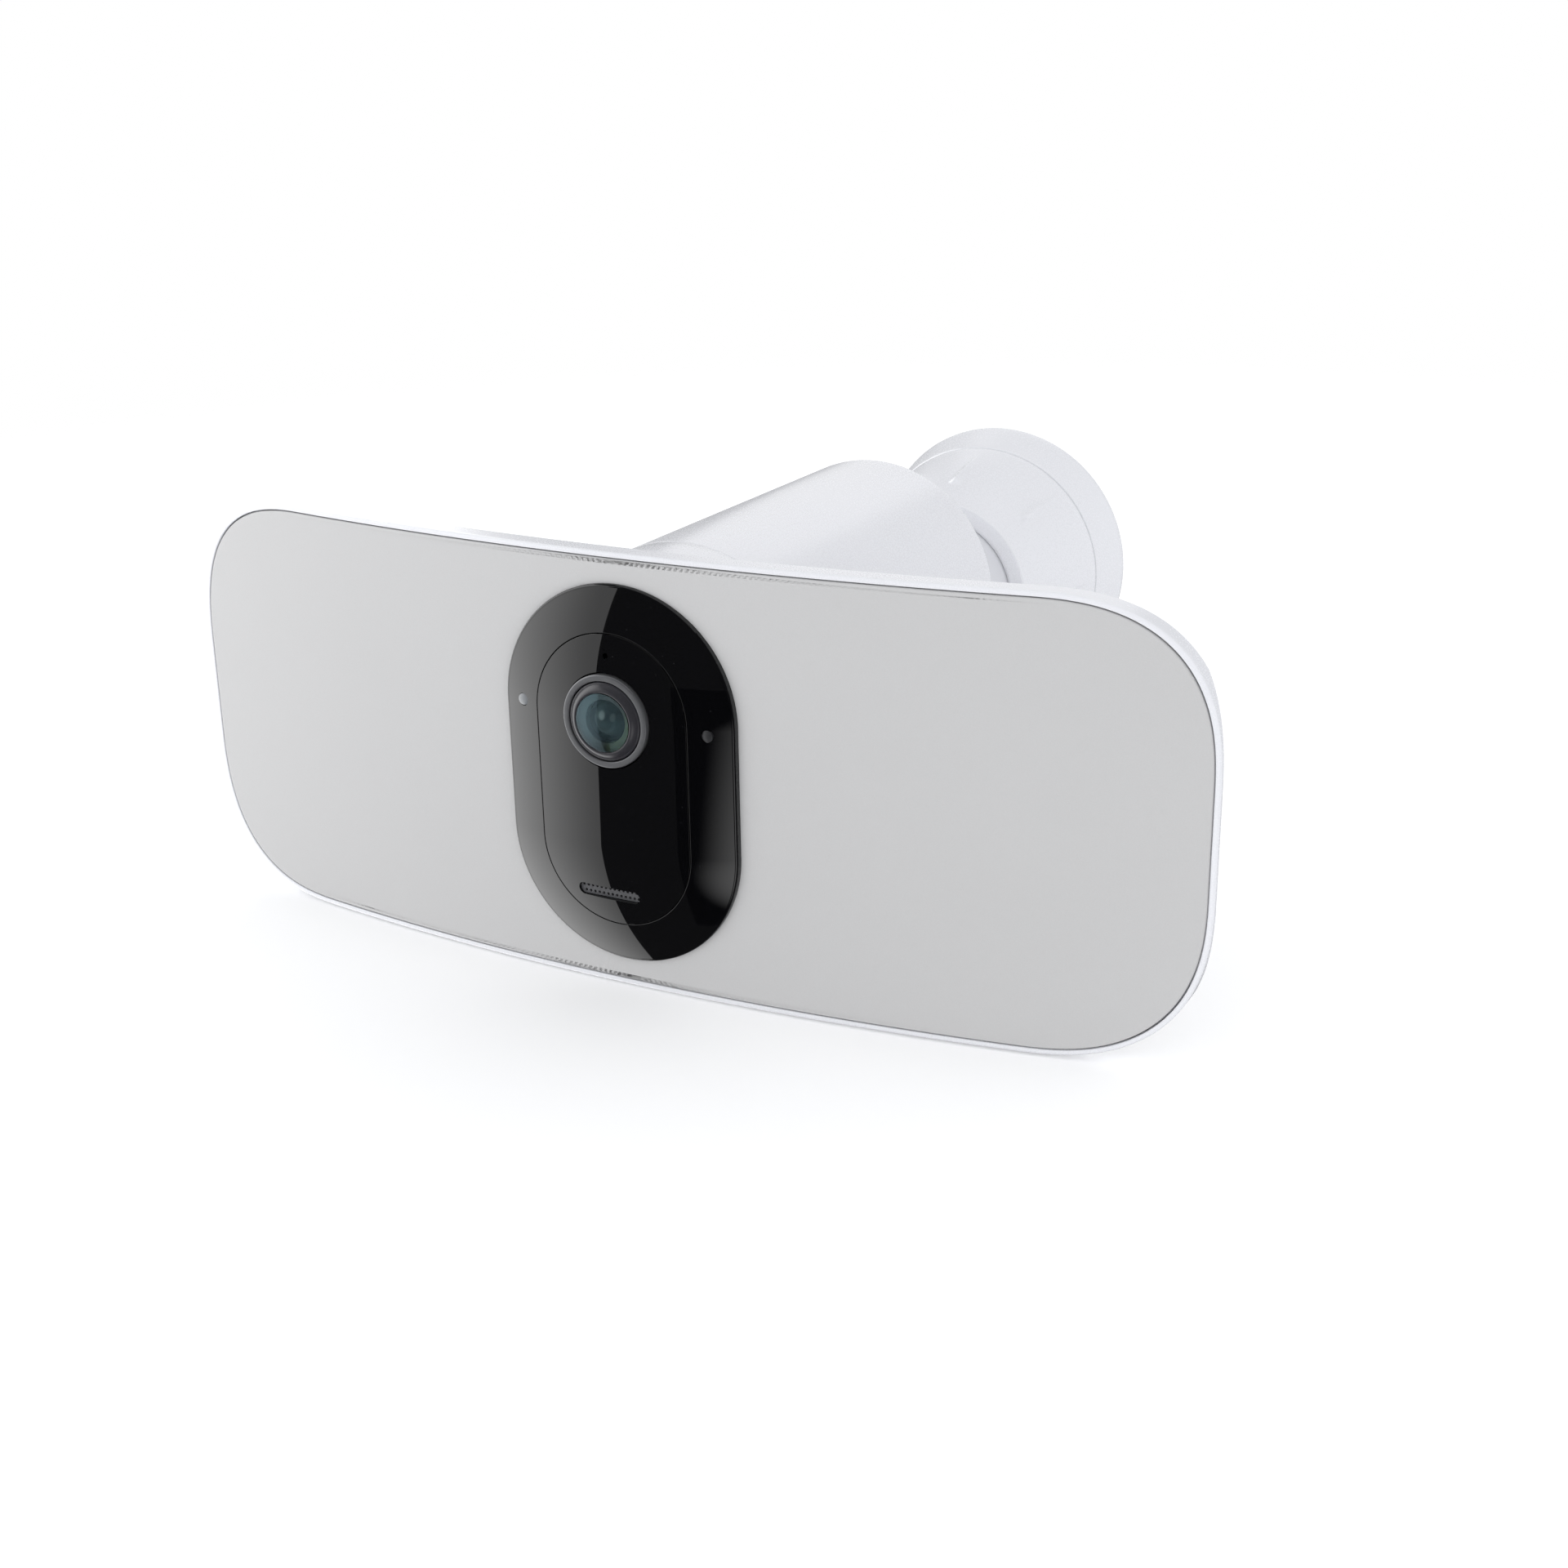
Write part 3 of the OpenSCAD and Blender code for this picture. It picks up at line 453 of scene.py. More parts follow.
rows_radius, rows_out = np.array(rows_radius), np.array(rows_out)
socket = grid_piece("arm_socket", np.stack([rows_radius * np.cos(angle), -rows_out,
                                            arm_z + rows_radius * np.sin(angle)], -1), True, True)
print("socket faces", len(socket.data.polygons))

# %% [markdown]
# The housing has real openings: a sunk seat for each of its eight screws, a bore for the sync button
# and a pocket for the charging cover on its lower side. Boolean cutters placed from the CAD boxes of
# those small nodes make them, so that each one sits in its own hole. Known fault: this cut leaves
# only scraps of the shell, so the back of the head is missing. The cause has not been found.

# %% Openings in the housing
def box_cutter(low, high):
    corner = np.array([[x, y, z] for x in (0, 1) for y in (0, 1) for z in (0, 1)], float)
    faces = np.array([[0, 1, 3, 2], [4, 6, 7, 5], [0, 4, 5, 1], [2, 3, 7, 6], [0, 2, 6, 4], [1, 5, 7, 3]])
    return make_piece("cutter", low + corner * (np.asarray(high) - low), faces)


def islands(node):
    """Middle of each separate solid of a CAD node, in millimetres."""
    mesh = bmesh.new()
    mesh.from_mesh(frame["nodes"][node].data)
    bmesh.ops.remove_doubles(mesh, verts=mesh.verts, dist=1e-6)
    left, found = set(mesh.verts), []
    while left:
        todo = [left.pop()]
        group = list(todo)
        while todo:
            for edge in todo.pop().link_edges:
                for vertex in edge.verts:
                    if vertex in left:
                        left.remove(vertex)
                        todo.append(vertex)
                        group.append(vertex)
        places = np.array([v.co for v in group]) / MM
        found.append((places.min(0), places.max(0)))
    mesh.free()
    return found


seats = []
for low, high in islands("housing_screws"):
    middle = (low + high) / 2
    seats.append(rod_cutter(2.75, (middle[0], high[1] + 1.2, middle[2]), "y", 4.0))
sync_low, sync_high = span("sync_button")
sync_mid = (sync_low + sync_high) / 2
sync_bore = rod_cutter(3.1, (sync_mid[0], sync_mid[1], sync_low[2] + 3), "z", 8)
cover_low, cover_high = span("port_cover")
pocket = box_cutter(cover_low - [0.3, 0.3, 1.0], cover_high + [0.4, 0.3, 0.3])
socket_low, socket_high = span("charge_socket")
throat = box_cutter(socket_low - [0.2, 0.2, 2.0], socket_high + [0.2, 0.2, 0.5])
cut_away(housing, *seats, sync_bore, pocket, throat, sharp=50)

# %% [markdown]
# The camera face is a pill with a crowned front: its height over the panel depends only on the
# distance from the pill's middle line, as if a low arch were carried round that line. All of its
# rings are pills about the same line, which makes the gap between ring and inner face even.

# %% Camera face
crown_rise = 6.1
crown_radius = (face_half[0] ** 2 + crown_rise ** 2) / (2 * crown_rise)
crown_axis = crown_top - crown_radius
inner_half = half_width("camera_face_inner")
face_seam = 0.16


def pill_path(cap_steps=72, side_steps=22):
    """Directions and the middle line's heights round a pill: up the right side, over, down and under."""
    cap = np.linspace(0, np.pi, cap_steps, endpoint=False)
    side = np.linspace(-pill_run, pill_run, side_steps, endpoint=False)
    turn = np.concatenate([np.zeros(side_steps), cap, np.full(side_steps, np.pi), cap + np.pi])
    height = np.concatenate([side, np.full(cap_steps, pill_run), -side, np.full(cap_steps, -pill_run)])
    return np.cos(turn), np.sin(turn), height


def crown_out(half_wide):
    """Distance from the wall of the crowned front at a distance from the pill's middle line."""
    return crown_axis + np.sqrt(crown_radius ** 2 - np.asarray(half_wide, float) ** 2)


def crown_surface(points):
    """How far points lie off the crowned front, and its normal there."""
    line = np.clip(points[:, 2], -pill_run, pill_run)
    away = np.stack([points[:, 0], points[:, 1] + crown_axis, points[:, 2] - line], -1)
    length = np.linalg.norm(away, axis=1)
    return length - crown_radius, away / length[:, None]


def pill_piece(name, halves, outs, sharp=40, ring=True):
    """Rows of pills by half width and distance from the wall; a ring's last row meets its first."""
    right, up, height = pill_path()
    halves, outs = np.asarray(halves, float)[:, None], np.asarray(outs, float)
    outs = outs if outs.ndim == 2 else outs[:, None]
    points = np.stack([halves * right, -outs + 0 * right, height + halves * up], -1)
    return grid_piece(name, points, ring, True, sharp)


ease = np.radians(np.linspace(0, 90, 7))
outer_edge = 0.7
inner_edge = 0.15
rim_half = face_half[0]
inside_half = inner_half + face_seam
across_crown = np.linspace(rim_half - outer_edge, inside_half + inner_edge, 16)
halves = np.concatenate([[rim_half - 2.3, rim_half], [rim_half],
                         rim_half - outer_edge * (1 - np.cos(ease)), across_crown[1:-1],
                         inside_half + inner_edge * (1 - np.sin(ease)),
                         [inside_half, inside_half + 2, rim_half - 2.3]])
edge_out = crown_out(rim_half - outer_edge) - outer_edge * (1 - np.sin(ease))
inner_out = crown_out(inside_half + inner_edge) - inner_edge * (1 - np.cos(ease))
right, up, height = pill_path()
panel_top = -behind_front(rim_half * right, 0 * right, 0.0)[:, 1] + 0.05
fixed = np.concatenate([edge_out, crown_out(across_crown[1:-1]), inner_out, [reach - 1, reach - 1]])
foot = np.stack([panel_top, panel_top, (panel_top + edge_out[0]) / 2])
outs = np.concatenate([foot, np.repeat(fixed[:, None], len(right), 1), foot[:1]])
face_ring = pill_piece("camera_face_frame", halves, outs)

across_crown = np.linspace(inner_half - inner_edge, 0, 22)
halves = np.concatenate([[0, inner_half], inner_half - inner_edge * (1 - np.cos(ease)), across_crown[1:]])
frame_foot = reach - 1.5
outs = np.concatenate([[frame_foot, frame_foot],
                       crown_out(inner_half - inner_edge) - inner_edge * (1 - np.sin(ease)),
                       crown_out(across_crown[1:])])
face_inner = pill_piece("camera_face_front", halves, outs, ring=False)
print("camera face", len(face_ring.data.polygons), len(face_inner.data.polygons))

# %% Openings in the camera face
face_mid = -crown_top
ring_radius = half_width("lens_ring")
slot_low, slot_high = span("speaker_grille")
slot_mid, slot_size = (slot_low + slot_high) / 2, slot_high - slot_low


def slot_cutter(width, height, middle, length):
    """A round-ended slot along x, cut along y."""
    radius = height / 2
    turn = np.linspace(-90, 90, 25)
    turn = np.radians(turn)
    half = np.stack([width / 2 - radius + radius * np.cos(turn), radius * np.sin(turn)], -1)
    loop = np.vstack([half, -half])
    rows = np.array([0, 1, 1, 0])[:, None, None] * loop[None]
    along = np.array([-1, -1, 1, 1])[:, None] * length / 2 + 0 * loop[:, 0]
    points = np.stack([rows[..., 0], along, rows[..., 1]], -1) + np.asarray(middle, float)
    return grid_piece("cutter", points, False, True)


mic_mid = sum(span("microphone")) / 2
cut_away(face_inner,
         rod_cutter(ring_radius + 0.35, (0, face_mid, lens_z), "y", 24, 160),
         slot_cutter(slot_size[0] + 0.16, slot_size[2] + 0.16, (slot_mid[0], face_mid, slot_mid[2]), 24),
         rod_cutter(0.7, (0, face_mid, mic_mid[2]), "y", 24, 32))
exact_normals(face_inner, crown_surface)
windows = {}
for node in ("status_window", "light_sensor_window"):
    low, high = span(node)
    windows[node] = (low + high) / 2, (high[0] - low[0]) / 2
cut_away(face_ring, *[rod_cutter(radius + 0.12, (middle[0], face_mid, middle[2]), "y", 24, 40)
                      for middle, radius in windows.values()])
exact_normals(face_ring, crown_surface)

# %% [markdown]
# The lens is built up as the real one is: a satin ring, a dark hood that rises from it as a shallow
# cone, a clear and gently domed front glass, and a steeper second element behind it. Each is a
# profile turned about the lens axis. The front glass really is clear, so the second element shows
# through it; the small bright spots deep in the lens are painted highlights in that element's colour.

# %% Lens
ring_top = out_of_wall("lens_ring")[1]
glass_radius = half_width("front_lens")
glass_top = out_of_wall("front_lens")[1]
glass_bulge = 0.9
glass_edge = glass_top - glass_bulge
ring_inner = ring_radius - 1.65
lens_ring = turned_piece("lens_trim_ring", (
    [(ring_inner, reach), (ring_radius, reach)] + arc((ring_radius - 0.4, ring_top - 0.4), 0.4, 0, 90)
    + arc((ring_inner + 0.3, ring_top - 0.3), 0.3, 90, 180)), lens_z)
hood_outer = ring_inner - 0.2
bore_radius = half_width("rear_lens") + 0.1
seat = glass_edge - 1.7
swell = np.linspace(0, 1, 12)
hood_slope = [(hood_outer - 0.55 - t * (hood_outer - 0.95 - glass_radius),
               ring_top - 0.12 + (glass_edge + 0.12 - ring_top) * math.sin(t * math.pi / 2)) for t in swell]
lens_hood = turned_piece("lens_hood", (
    [(bore_radius, reach - 11), (hood_outer, reach - 11)]
    + arc((hood_outer - 0.5, ring_top - 0.62), 0.5, 0, 80, 6)
    + hood_slope + [(glass_radius + 0.12, glass_edge - 0.1), (glass_radius + 0.1, glass_edge - 0.4),
                    (glass_radius + 0.1, seat), (bore_radius + 0.15, seat), (bore_radius, seat - 0.15)]),
    lens_z, sharp=30)


def lens_profile(radius, top, sphere, depth):
    """A lens with a spherical front: its axis point, the front's arc, a fine chamfer and a flat back."""
    opening = math.degrees(math.asin(radius / sphere))
    front = arc((0, top - sphere), sphere, 90 - opening, 90, 24)
    return [(0.0, top - depth), (radius, top - depth)] + front


front_sphere = (glass_radius ** 2 + glass_bulge ** 2) / (2 * glass_bulge)
front_glass = turned_piece("front_glass", lens_profile(
    glass_radius - 0.03, glass_top, front_sphere, glass_bulge + 0.7), lens_z)
second_radius = half_width("rear_lens")
second_top = out_of_wall("rear_lens")[1]
second_glass = turned_piece("second_element", lens_profile(second_radius, second_top, 7.0, 4.5), lens_z)
print("lens ring to", round(ring_top - reach, 2), "glass to", round(glass_top - reach, 2))

# %% Small windows in the face
window_pieces = {}
for node, (middle, radius) in windows.items():
    low, high = span(node)
    top = -low[1]
    dome = 3 * radius
    spread = math.degrees(math.asin(radius / dome))
    profile = [(0.0, top - 2.0), (radius, top - 2.0)] + arc((0, top - dome), dome, 90 - spread, 90, 8)
    points = revolve(profile, middle[2], 48)
    points[..., 0] += middle[0]
    window_pieces[node] = grid_piece(node + "_lens", points, True, True)
print("windows", list(window_pieces))

# %% [markdown]
# The arm is a plain tube with a softly rolled rim at the wall end. The CAD already has the right
# tube, and turning the profile again gives it a finer curve and a rim that catches a thin highlight.

# %% Arm tube
arm_bore = arm_radius - 2.6
rim_roll = 1.2
release_low, release_high = span("release_button")
release_mid = (release_low + release_high) / 2
arm = turned_piece("arm_tube", (
    [(arm_bore, arm_front), (arm_bore, arm_end + 0.5)]
    + arc((arm_bore + 0.5, arm_end + 0.5), 0.5, 180, 270, 4)
    + arc((arm_radius - rim_roll, arm_end + rim_roll), rim_roll, 270, 360, 8)
    + [(arm_radius, out) for out in np.linspace(arm_end + 4, arm_front - 1, 30)]
    + arc((arm_radius - 0.4, arm_front - 0.4), 0.4, 0, 90, 4)), arm_z, 192)
cut_away(arm, rod_cutter(6.75, (release_mid[0], release_mid[1], arm_z - arm_radius), "z", 12, 64))


def arm_surface(points):
    """How far points lie off the tube, and its normal there; the rims are left as they are."""
    away = points - [0, 0, arm_z]
    away[:, 1] = 0
    length = np.linalg.norm(away, axis=1)
    ends = (-points[:, 1] < arm_end + rim_roll - 0.01) | (-points[:, 1] > arm_front - 0.39)
    return length - arm_radius + ends, away / length[:, None]


exact_normals(arm, arm_surface)

# %% [markdown]
# The ball mount: a ball whose stem flares into a flange, a bell-shaped collar that screws down over
# it, and the wall base. Eight grip ribs rise on the collar. Each is a smooth hump in the radius,
# narrow and high near the mouth and fading towards the seam, so collar and ribs are one surface.

# %% Ball and stem
stem_radius = 10.0
flange_radius = 19.0
flange_top = arm_end + 1.5
flange_low = flange_top - 3.5
spigot_radius = 8.0
stem_end = out_of_wall("ball_stem")[1]
meet_angle = math.degrees(math.acos(stem_radius / ball_radius))
neck_start = ball_centre + ball_radius * math.sin(math.radians(meet_angle))
u = np.linspace(0, 1, 18)[1:]
flare = np.stack([stem_radius + (flange_radius - 1 - stem_radius) * u ** 2,
                  neck_start + (flange_low - neck_start) * u], -1)
ball = turned_piece("ball_and_stem", (
    arc((0, ball_centre), ball_radius, -90, meet_angle, 60) + list(flare)
    + arc((flange_radius - 0.5, flange_low + 0.5), 0.5, 300, 360, 3)
    + arc((flange_radius - 0.4, flange_top - 0.4), 0.4, 0, 90, 3)
    + [(spigot_radius, flange_top), (spigot_radius, stem_end - 0.5),
       (spigot_radius - 0.5, stem_end), (0, stem_end)]),
    0.0, 160)
print("ball faces", len(ball.data.polygons))

# %% Lock collar with its ribs
seam_radius = 40.0
mouth_radius = 29.5
boss_radius = 33.0
boss_top = ball_centre - 9
rib_count = 8
rib_height = 1.25
rib_width = 1.35
turns = 720
slope = (seam_radius - mouth_radius) / (collar_mouth - (collar_low - 0.25))


def cone_radius(out):
    """Radius of the bell's plain cone at a distance from the wall, with a faint swell between its ends."""
    share = (out - collar_low) / (collar_mouth - collar_low)
    return mouth_radius + (collar_mouth - out) * slope + 0.5 * np.sin(np.pi * np.clip(share, 0, 1))


def smooth_step(value, start, stop):
    t = np.clip((value - start) / (stop - start), 0, 1)
    return t * t * (3 - 2 * t)


def rib_rise(out, angle):
    """Height of the grip ribs: a rounded ridge across, a blunt nose near the mouth and a long fading tail."""
    pitch = 2 * np.pi / rib_count
    off = (np.mod(angle + pitch / 2, pitch) - pitch / 2) * cone_radius(out)
    nose = 1 - smooth_step(out, collar_mouth - 12.6, collar_mouth - 10.6)
    tail = smooth_step(out, collar_low + 1.5, collar_mouth - 12.5)
    width = rib_width * (0.45 + 0.55 * tail)
    return rib_height * nose * tail * np.exp(-(off / width) ** 2)


outside = np.concatenate([[collar_low + 0.7, collar_low + 2], np.linspace(collar_low + 3, collar_mouth - 16, 18),
                          np.linspace(collar_mouth - 15, collar_mouth - 8, 22),
                          np.linspace(collar_mouth - 7, collar_mouth - 0.8, 5)])
angle = np.linspace(0, 2 * np.pi, turns, endpoint=False)
bell = cone_radius(outside)[:, None] + rib_rise(outside[:, None], angle[None])
low_edge = np.array(arc((cone_radius(collar_low + 0.5) - 0.5, collar_low + 0.5), 0.5, 270, 350, 4))
mouth_edge = np.array(arc((cone_radius(collar_mouth - 0.7) - 0.7, collar_mouth - 0.7), 0.7, 15, 90, 7)
                      + [(25.5, collar_mouth), (25.15, collar_mouth - 0.08), (24.75, collar_mouth - 0.5),
                         (24.4, collar_mouth - 0.6)]
                      + arc((0, ball_centre), ball_radius + 0.38, 26, 18, 4)
                      + arc((0, ball_centre), 29.6, 17, -14, 6)
                      + [(boss_radius + 0.1, boss_top), (boss_radius + 0.1, collar_low)])
radius = np.concatenate([np.repeat(low_edge[:, :1], turns, 1), bell, np.repeat(mouth_edge[:, :1], turns, 1)])
out = np.concatenate([low_edge[:, 1], outside, mouth_edge[:, 1]])[:, None] + 0 * radius
collar = grid_piece("grip_collar", np.stack([radius * np.cos(angle), -out, radius * np.sin(angle)], -1),
                    True, True, sharp=50)
print("collar faces", len(collar.data.polygons))

# %% Wall base
base_top = collar_low - 0.25
base_floor = 9.0
plate_hole = base_radius - 6.2
wall_gap = 0.65
base_profile = ([(base_radius - 8, wall_gap), (base_radius - 0.9, wall_gap)]
                + arc((base_radius - 0.6, 1.25), 0.6, 270, 355, 5)
                + [(base_radius - 0.05 - (base_radius - seam_radius - 0.25) * t, 1.4 + (base_top - 1.9) * t)
                   for t in np.linspace(0.1, 0.98, 10)]
                + arc((seam_radius - 0.35, base_top - 0.5), 0.5, 10, 90, 4)
                + [(boss_radius, base_top), (boss_radius, boss_top), (boss_radius - 1, boss_top),
                   (boss_radius - 1, base_floor), (plate_hole, base_floor), (plate_hole, wall_gap)])
base = turned_piece("wall_base_bell", base_profile, 0.0, 192)
print("base faces", len(base.data.polygons))

# %% [markdown]
# Each new surface now takes the place of its CAD node, which is hidden: it rides on the same body, so
# it moves with the same joint. Its row also names a material slot; the finishes are put on further down.

# %% Bodies and slots
stands_for = [
    (panel, "head", "panel", "diffuser_panel"),
    (bezel, "head", "white_shell", "front_bezel"),
    (housing, "head", "white_shell", "rear_housing"),
    (socket, "head", "white_shell", None),
    (face_ring, "head", "black_face", "camera_face_ring"),
    (face_inner, "head", "black_face", "camera_face_inner"),
    (lens_ring, "head", "grey_ring", "lens_ring"),
    (lens_hood, "head", "dark_plastic", "lens_barrel"),
    (front_glass, "head", "lens_glass", "front_lens"),
    (second_glass, "head", "lens_glass", "rear_lens"),
    (window_pieces["status_window"], "head", "window", "status_window"),
    (window_pieces["light_sensor_window"], "head", "window", "light_sensor_window"),
    (arm, "arm", "white_shell", "arm_shell"),
    (ball, "ball", "ball_plastic", "ball_stem"),
    (collar, "collar", "white_shell", "lock_collar"),
    (base, "mount", "white_shell", "base_shell"),
]
for piece, body, slot, node in stands_for:
    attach(piece, body)
    if node:
        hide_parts(node)
for material in frame["record"]["materials"]:
    for node in material.get("nodes", []):
        node in frame["nodes"]
print("surfaces in place:", len(stands_for))

# %% [markdown]
# Materials are built from shader nodes. So that a pattern reads as plain arithmetic, a small class
# wraps a node's output: adding or multiplying two of them makes the Math node that does it. A second
# class holds one material and makes every other node through a single method.

# %% Shader arithmetic
class Link:
    """The output of a node; arithmetic on it adds Math nodes."""

    def __init__(self, finish, socket):
        self.finish = finish
        self.socket = socket

    def maths(self, operation, *values):
        return self.finish.node("ShaderNodeMath", {"operation": operation}, dict(enumerate(values)))

    def __add__(self, other):
        return self.maths("ADD", self, other)

    def __sub__(self, other):
        return self.maths("SUBTRACT", self, other)

    def __rsub__(self, other):
        return self.maths("SUBTRACT", other, self)

    def __mul__(self, other):
        return self.maths("MULTIPLY", self, other)

    def __truediv__(self, other):
        return self.maths("DIVIDE", self, other)

    def __rtruediv__(self, other):
        return self.maths("DIVIDE", other, self)

    def __pow__(self, other):
        return self.maths("POWER", self, other)

    def __neg__(self):
        return self.maths("MULTIPLY", self, -1.0)

    __radd__ = __add__
    __rmul__ = __mul__

    def clip(self):
        """Held between 0 and 1."""
        return self.maths("MINIMUM", self.maths("MAXIMUM", self, 0.0), 1.0)

    def step(self, start, stop):
        """A smooth rise from 0 at start to 1 at stop."""
        t = ((self - start) / (stop - start)).clip()
        return t * t * (3.0 - 2.0 * t)


class Finish:
    """One material: a Principled shader whose constants are set directly, and the nodes that feed it."""

    def __init__(self, name, constants):
        self.material = bpy.data.materials.new(name)
        self.material.use_nodes = True
        self.tree = self.material.node_tree
        self.shader = self.tree.nodes["Principled BSDF"]
        for socket, value in constants.items():
            self.shader.inputs[socket].default_value = value

    def node(self, kind, settings=None, inputs=None, output=0):
        """Adds a node: settings first, then the values or links of its sockets; gives back one output."""
        made = self.tree.nodes.new(kind)
        for name, value in (settings or {}).items():
            if name == "stops":
                ramp = made.color_ramp
                while len(ramp.elements) < len(value):
                    ramp.elements.new(0.5)
                for element, (position, colour) in zip(ramp.elements, value):
                    element.position, element.color = position, (*colour, 1)
            else:
                setattr(made, name, value)
        for key, value in (inputs or {}).items():
            if isinstance(value, Link):
                self.tree.links.new(value.socket, made.inputs[key])
            else:
                made.inputs[key].default_value = value
        return Link(self, made.outputs[output])

    def place(self):
        return self.node("ShaderNodeTexCoord", output="Object")

    def along(self, axis):
        """The coordinate along "X", "Y" or "Z", in metres."""
        return self.node("ShaderNodeSeparateXYZ", {}, {0: self.place()}, axis)

    def about_lens(self, radius):
        """Place across, place up and distance from the lens axis, as shares of a radius in millimetres."""
        across = self.along("X") / (radius * MM)
        up = (self.along("Z") - lens_z * MM) / (radius * MM)
        return across, up, (across * across + up * up) ** 0.5

    def noise(self, per_metre, detail=2.0, stretch=None):
        """Cloudy noise with that many features to the metre, from about 0 to 1."""
        where = self.place()
        if stretch:
            where = self.node("ShaderNodeMapping", {}, {"Vector": where, "Scale": stretch})
        return self.node("ShaderNodeTexNoise", {}, {"Vector": where, "Scale": per_metre, "Detail": detail})

    def cells(self, per_metre, feature="F1"):
        return self.node("ShaderNodeTexVoronoi", {"feature": feature},
                         {"Vector": self.place(), "Scale": per_metre}, "Distance")

    def blend(self, share, first, second):
        """A colour between two."""
        colours = [c if isinstance(c, Link) else (*c, 1) for c in (first, second)]
        return self.node("ShaderNodeMix", {"data_type": "RGBA"}, {0: share, 6: colours[0], 7: colours[1]}, 2)

    def bump(self, height, distance, strength=1.0):
        return self.node("ShaderNodeBump", {},
                         {"Height": height, "Distance": distance, "Strength": strength}, "Normal")

    def feed(self, **links):
        names = {"colour": "Base Color", "roughness": "Roughness", "metallic": "Metallic", "normal": "Normal",
                 "coat": "Coat Weight", "glow": "Emission Color", "alpha": "Alpha"}
        for name, value in links.items():
            self.tree.links.new(value.socket, self.shader.inputs[names[name]])
        return self

    def on(self, *pieces):
        """Puts the material on pieces or CAD nodes."""
        for piece in pieces:
            piece = frame["nodes"][piece] if isinstance(piece, str) else piece
            piece.data.materials.clear()
            piece.data.materials.append(self.material)
        return self


def speckled(name, per_metre, first, second, rough, vary, constants):
    """One fine noise that drifts the colour from first to second and roughens it by up to vary."""
    made = Finish(name, constants)
    grain = made.noise(per_metre, 2)
    return made.feed(colour=made.blend(grain, first, second), roughness=rough + vary * grain)


print("shader helpers ready")

# %% [markdown]
# The white housing is satin-gloss ABS. What gives moulded plastic away is not its colour but its
# surface: a faint long-wave ripple that bends the highlights, a very fine etched grain, and gloss
# that varies a little where the mould was polished more. All three are noise at different scales.

# %% White plastic
def moulded(name, colour, shade, gloss, grain=1.0, constants=None):
    """Moulded plastic: colour drifting towards shade, gloss as a roughness, and grain as a bump's share."""
    made = Finish(name, {"IOR": 1.5, **(constants or {})})
    drift = made.noise(14, 2)
    grains = made.noise(2600, 2)
    ripple = made.noise(55, 1)
    fine = made.bump(grains, 0.000005 * grain, 0.5)
    wave = made.node("ShaderNodeBump", {}, {"Height": ripple, "Distance": 0.00012, "Strength": 0.12,
                                            "Normal": fine}, "Normal")
    return made.feed(colour=made.blend((0.85 * drift + 0.15 * grains).clip(), colour, shade),
                     roughness=gloss + 0.05 * (drift - 0.5) + 0.06 * (grains - 0.5), normal=wave)


white_shell = moulded("white_satin_plastic", (0.80, 0.805, 0.83), (0.77, 0.775, 0.80), 0.27)
white_shell.on(bezel, housing, socket, arm, collar, base, "arm_end_cap", "port_cover")
ball_plastic = moulded("ball_plastic", (0.74, 0.745, 0.77), (0.71, 0.715, 0.745), 0.2, 0.5)
ball_plastic.on(ball)

# %% [markdown]
# The lens panel is frosted: light goes a little way in before it comes back. Fine bright and dark
# specks from the diffusing powder in the plastic keep it from looking like painted metal.

# %% Frosted panel
frosted = Finish("frosted_lens_panel", {"IOR": 1.49, "Specular IOR Level": 0.4})
specks = frosted.noise(3600, 1)
clouds = frosted.noise(22, 2)
frosted.feed(colour=frosted.blend((0.75 * specks + 0.25 * clouds).clip(),
                                  (0.515, 0.512, 0.508), (0.57, 0.567, 0.563)),
             roughness=0.46 + 0.1 * (specks - 0.5), normal=frosted.bump(specks, 0.00002, 0.5))
frosted.on(panel)

# %% [markdown]
# The camera face is piano black: nearly no colour of its own, all reflection. A faint haze of
# polishing and a few dust motes, seen only as slightly rougher spots, make the gloss believable.

# %% Gloss black, lens ring and hood
gloss = Finish("piano_black", {"IOR": 1.52})
haze = gloss.noise(38, 3)
motes = 1 - gloss.cells(420).step(0.02, 0.07)
gloss.feed(colour=gloss.blend(motes * 0.5, (0.002, 0.002, 0.0025), (0.04, 0.04, 0.045)),
           roughness=0.015 + 0.02 * haze.step(0.45, 0.7) + 0.25 * motes)
gloss.on(face_ring, face_inner)

satin = Finish("satin_grey_trim", {"IOR": 1.5})
turn_marks = satin.noise(1, 2, (900, 60, 900))
satin.feed(colour=satin.blend(turn_marks, (0.125, 0.127, 0.133), (0.16, 0.162, 0.168)),
           roughness=0.34 + 0.12 * (turn_marks - 0.5), metallic=0.55 + 0.1 * turn_marks,
           normal=satin.bump(turn_marks, 0.00001, 0.4))
satin.on(lens_ring)

hood = Finish("hood_black", {"IOR": 1.5})
hood_grain = hood.noise(1900, 2)
east, rise, away = hood.about_lens(glass_radius)
black = hood.blend(hood_grain, (0.020, 0.0195, 0.024), (0.031, 0.030, 0.036))
# Painted reflection: inside the glass's radius the hood's seat is painted teal on the left and green on the
# right, standing for the coating's reflections of the lights.
teal_reflection_side = (0.15 * rise - east).step(-0.1, 0.8)
green_reflection_side = (east - 0.6 * rise).step(0.2, 0.9)
teal_painted_reflection = hood.blend(teal_reflection_side, (0.008, 0.012, 0.012), (0.075, 0.135, 0.155))
seat_painted_reflection = hood.blend(green_reflection_side, teal_painted_reflection, (0.055, 0.095, 0.022))
hood.feed(colour=hood.blend(1 - away.step(1.0, 1.015), black, seat_painted_reflection),
          roughness=0.27 + 0.08 * hood_grain, normal=hood.bump(hood_grain, 0.000008, 0.4))
hood.on(lens_hood)

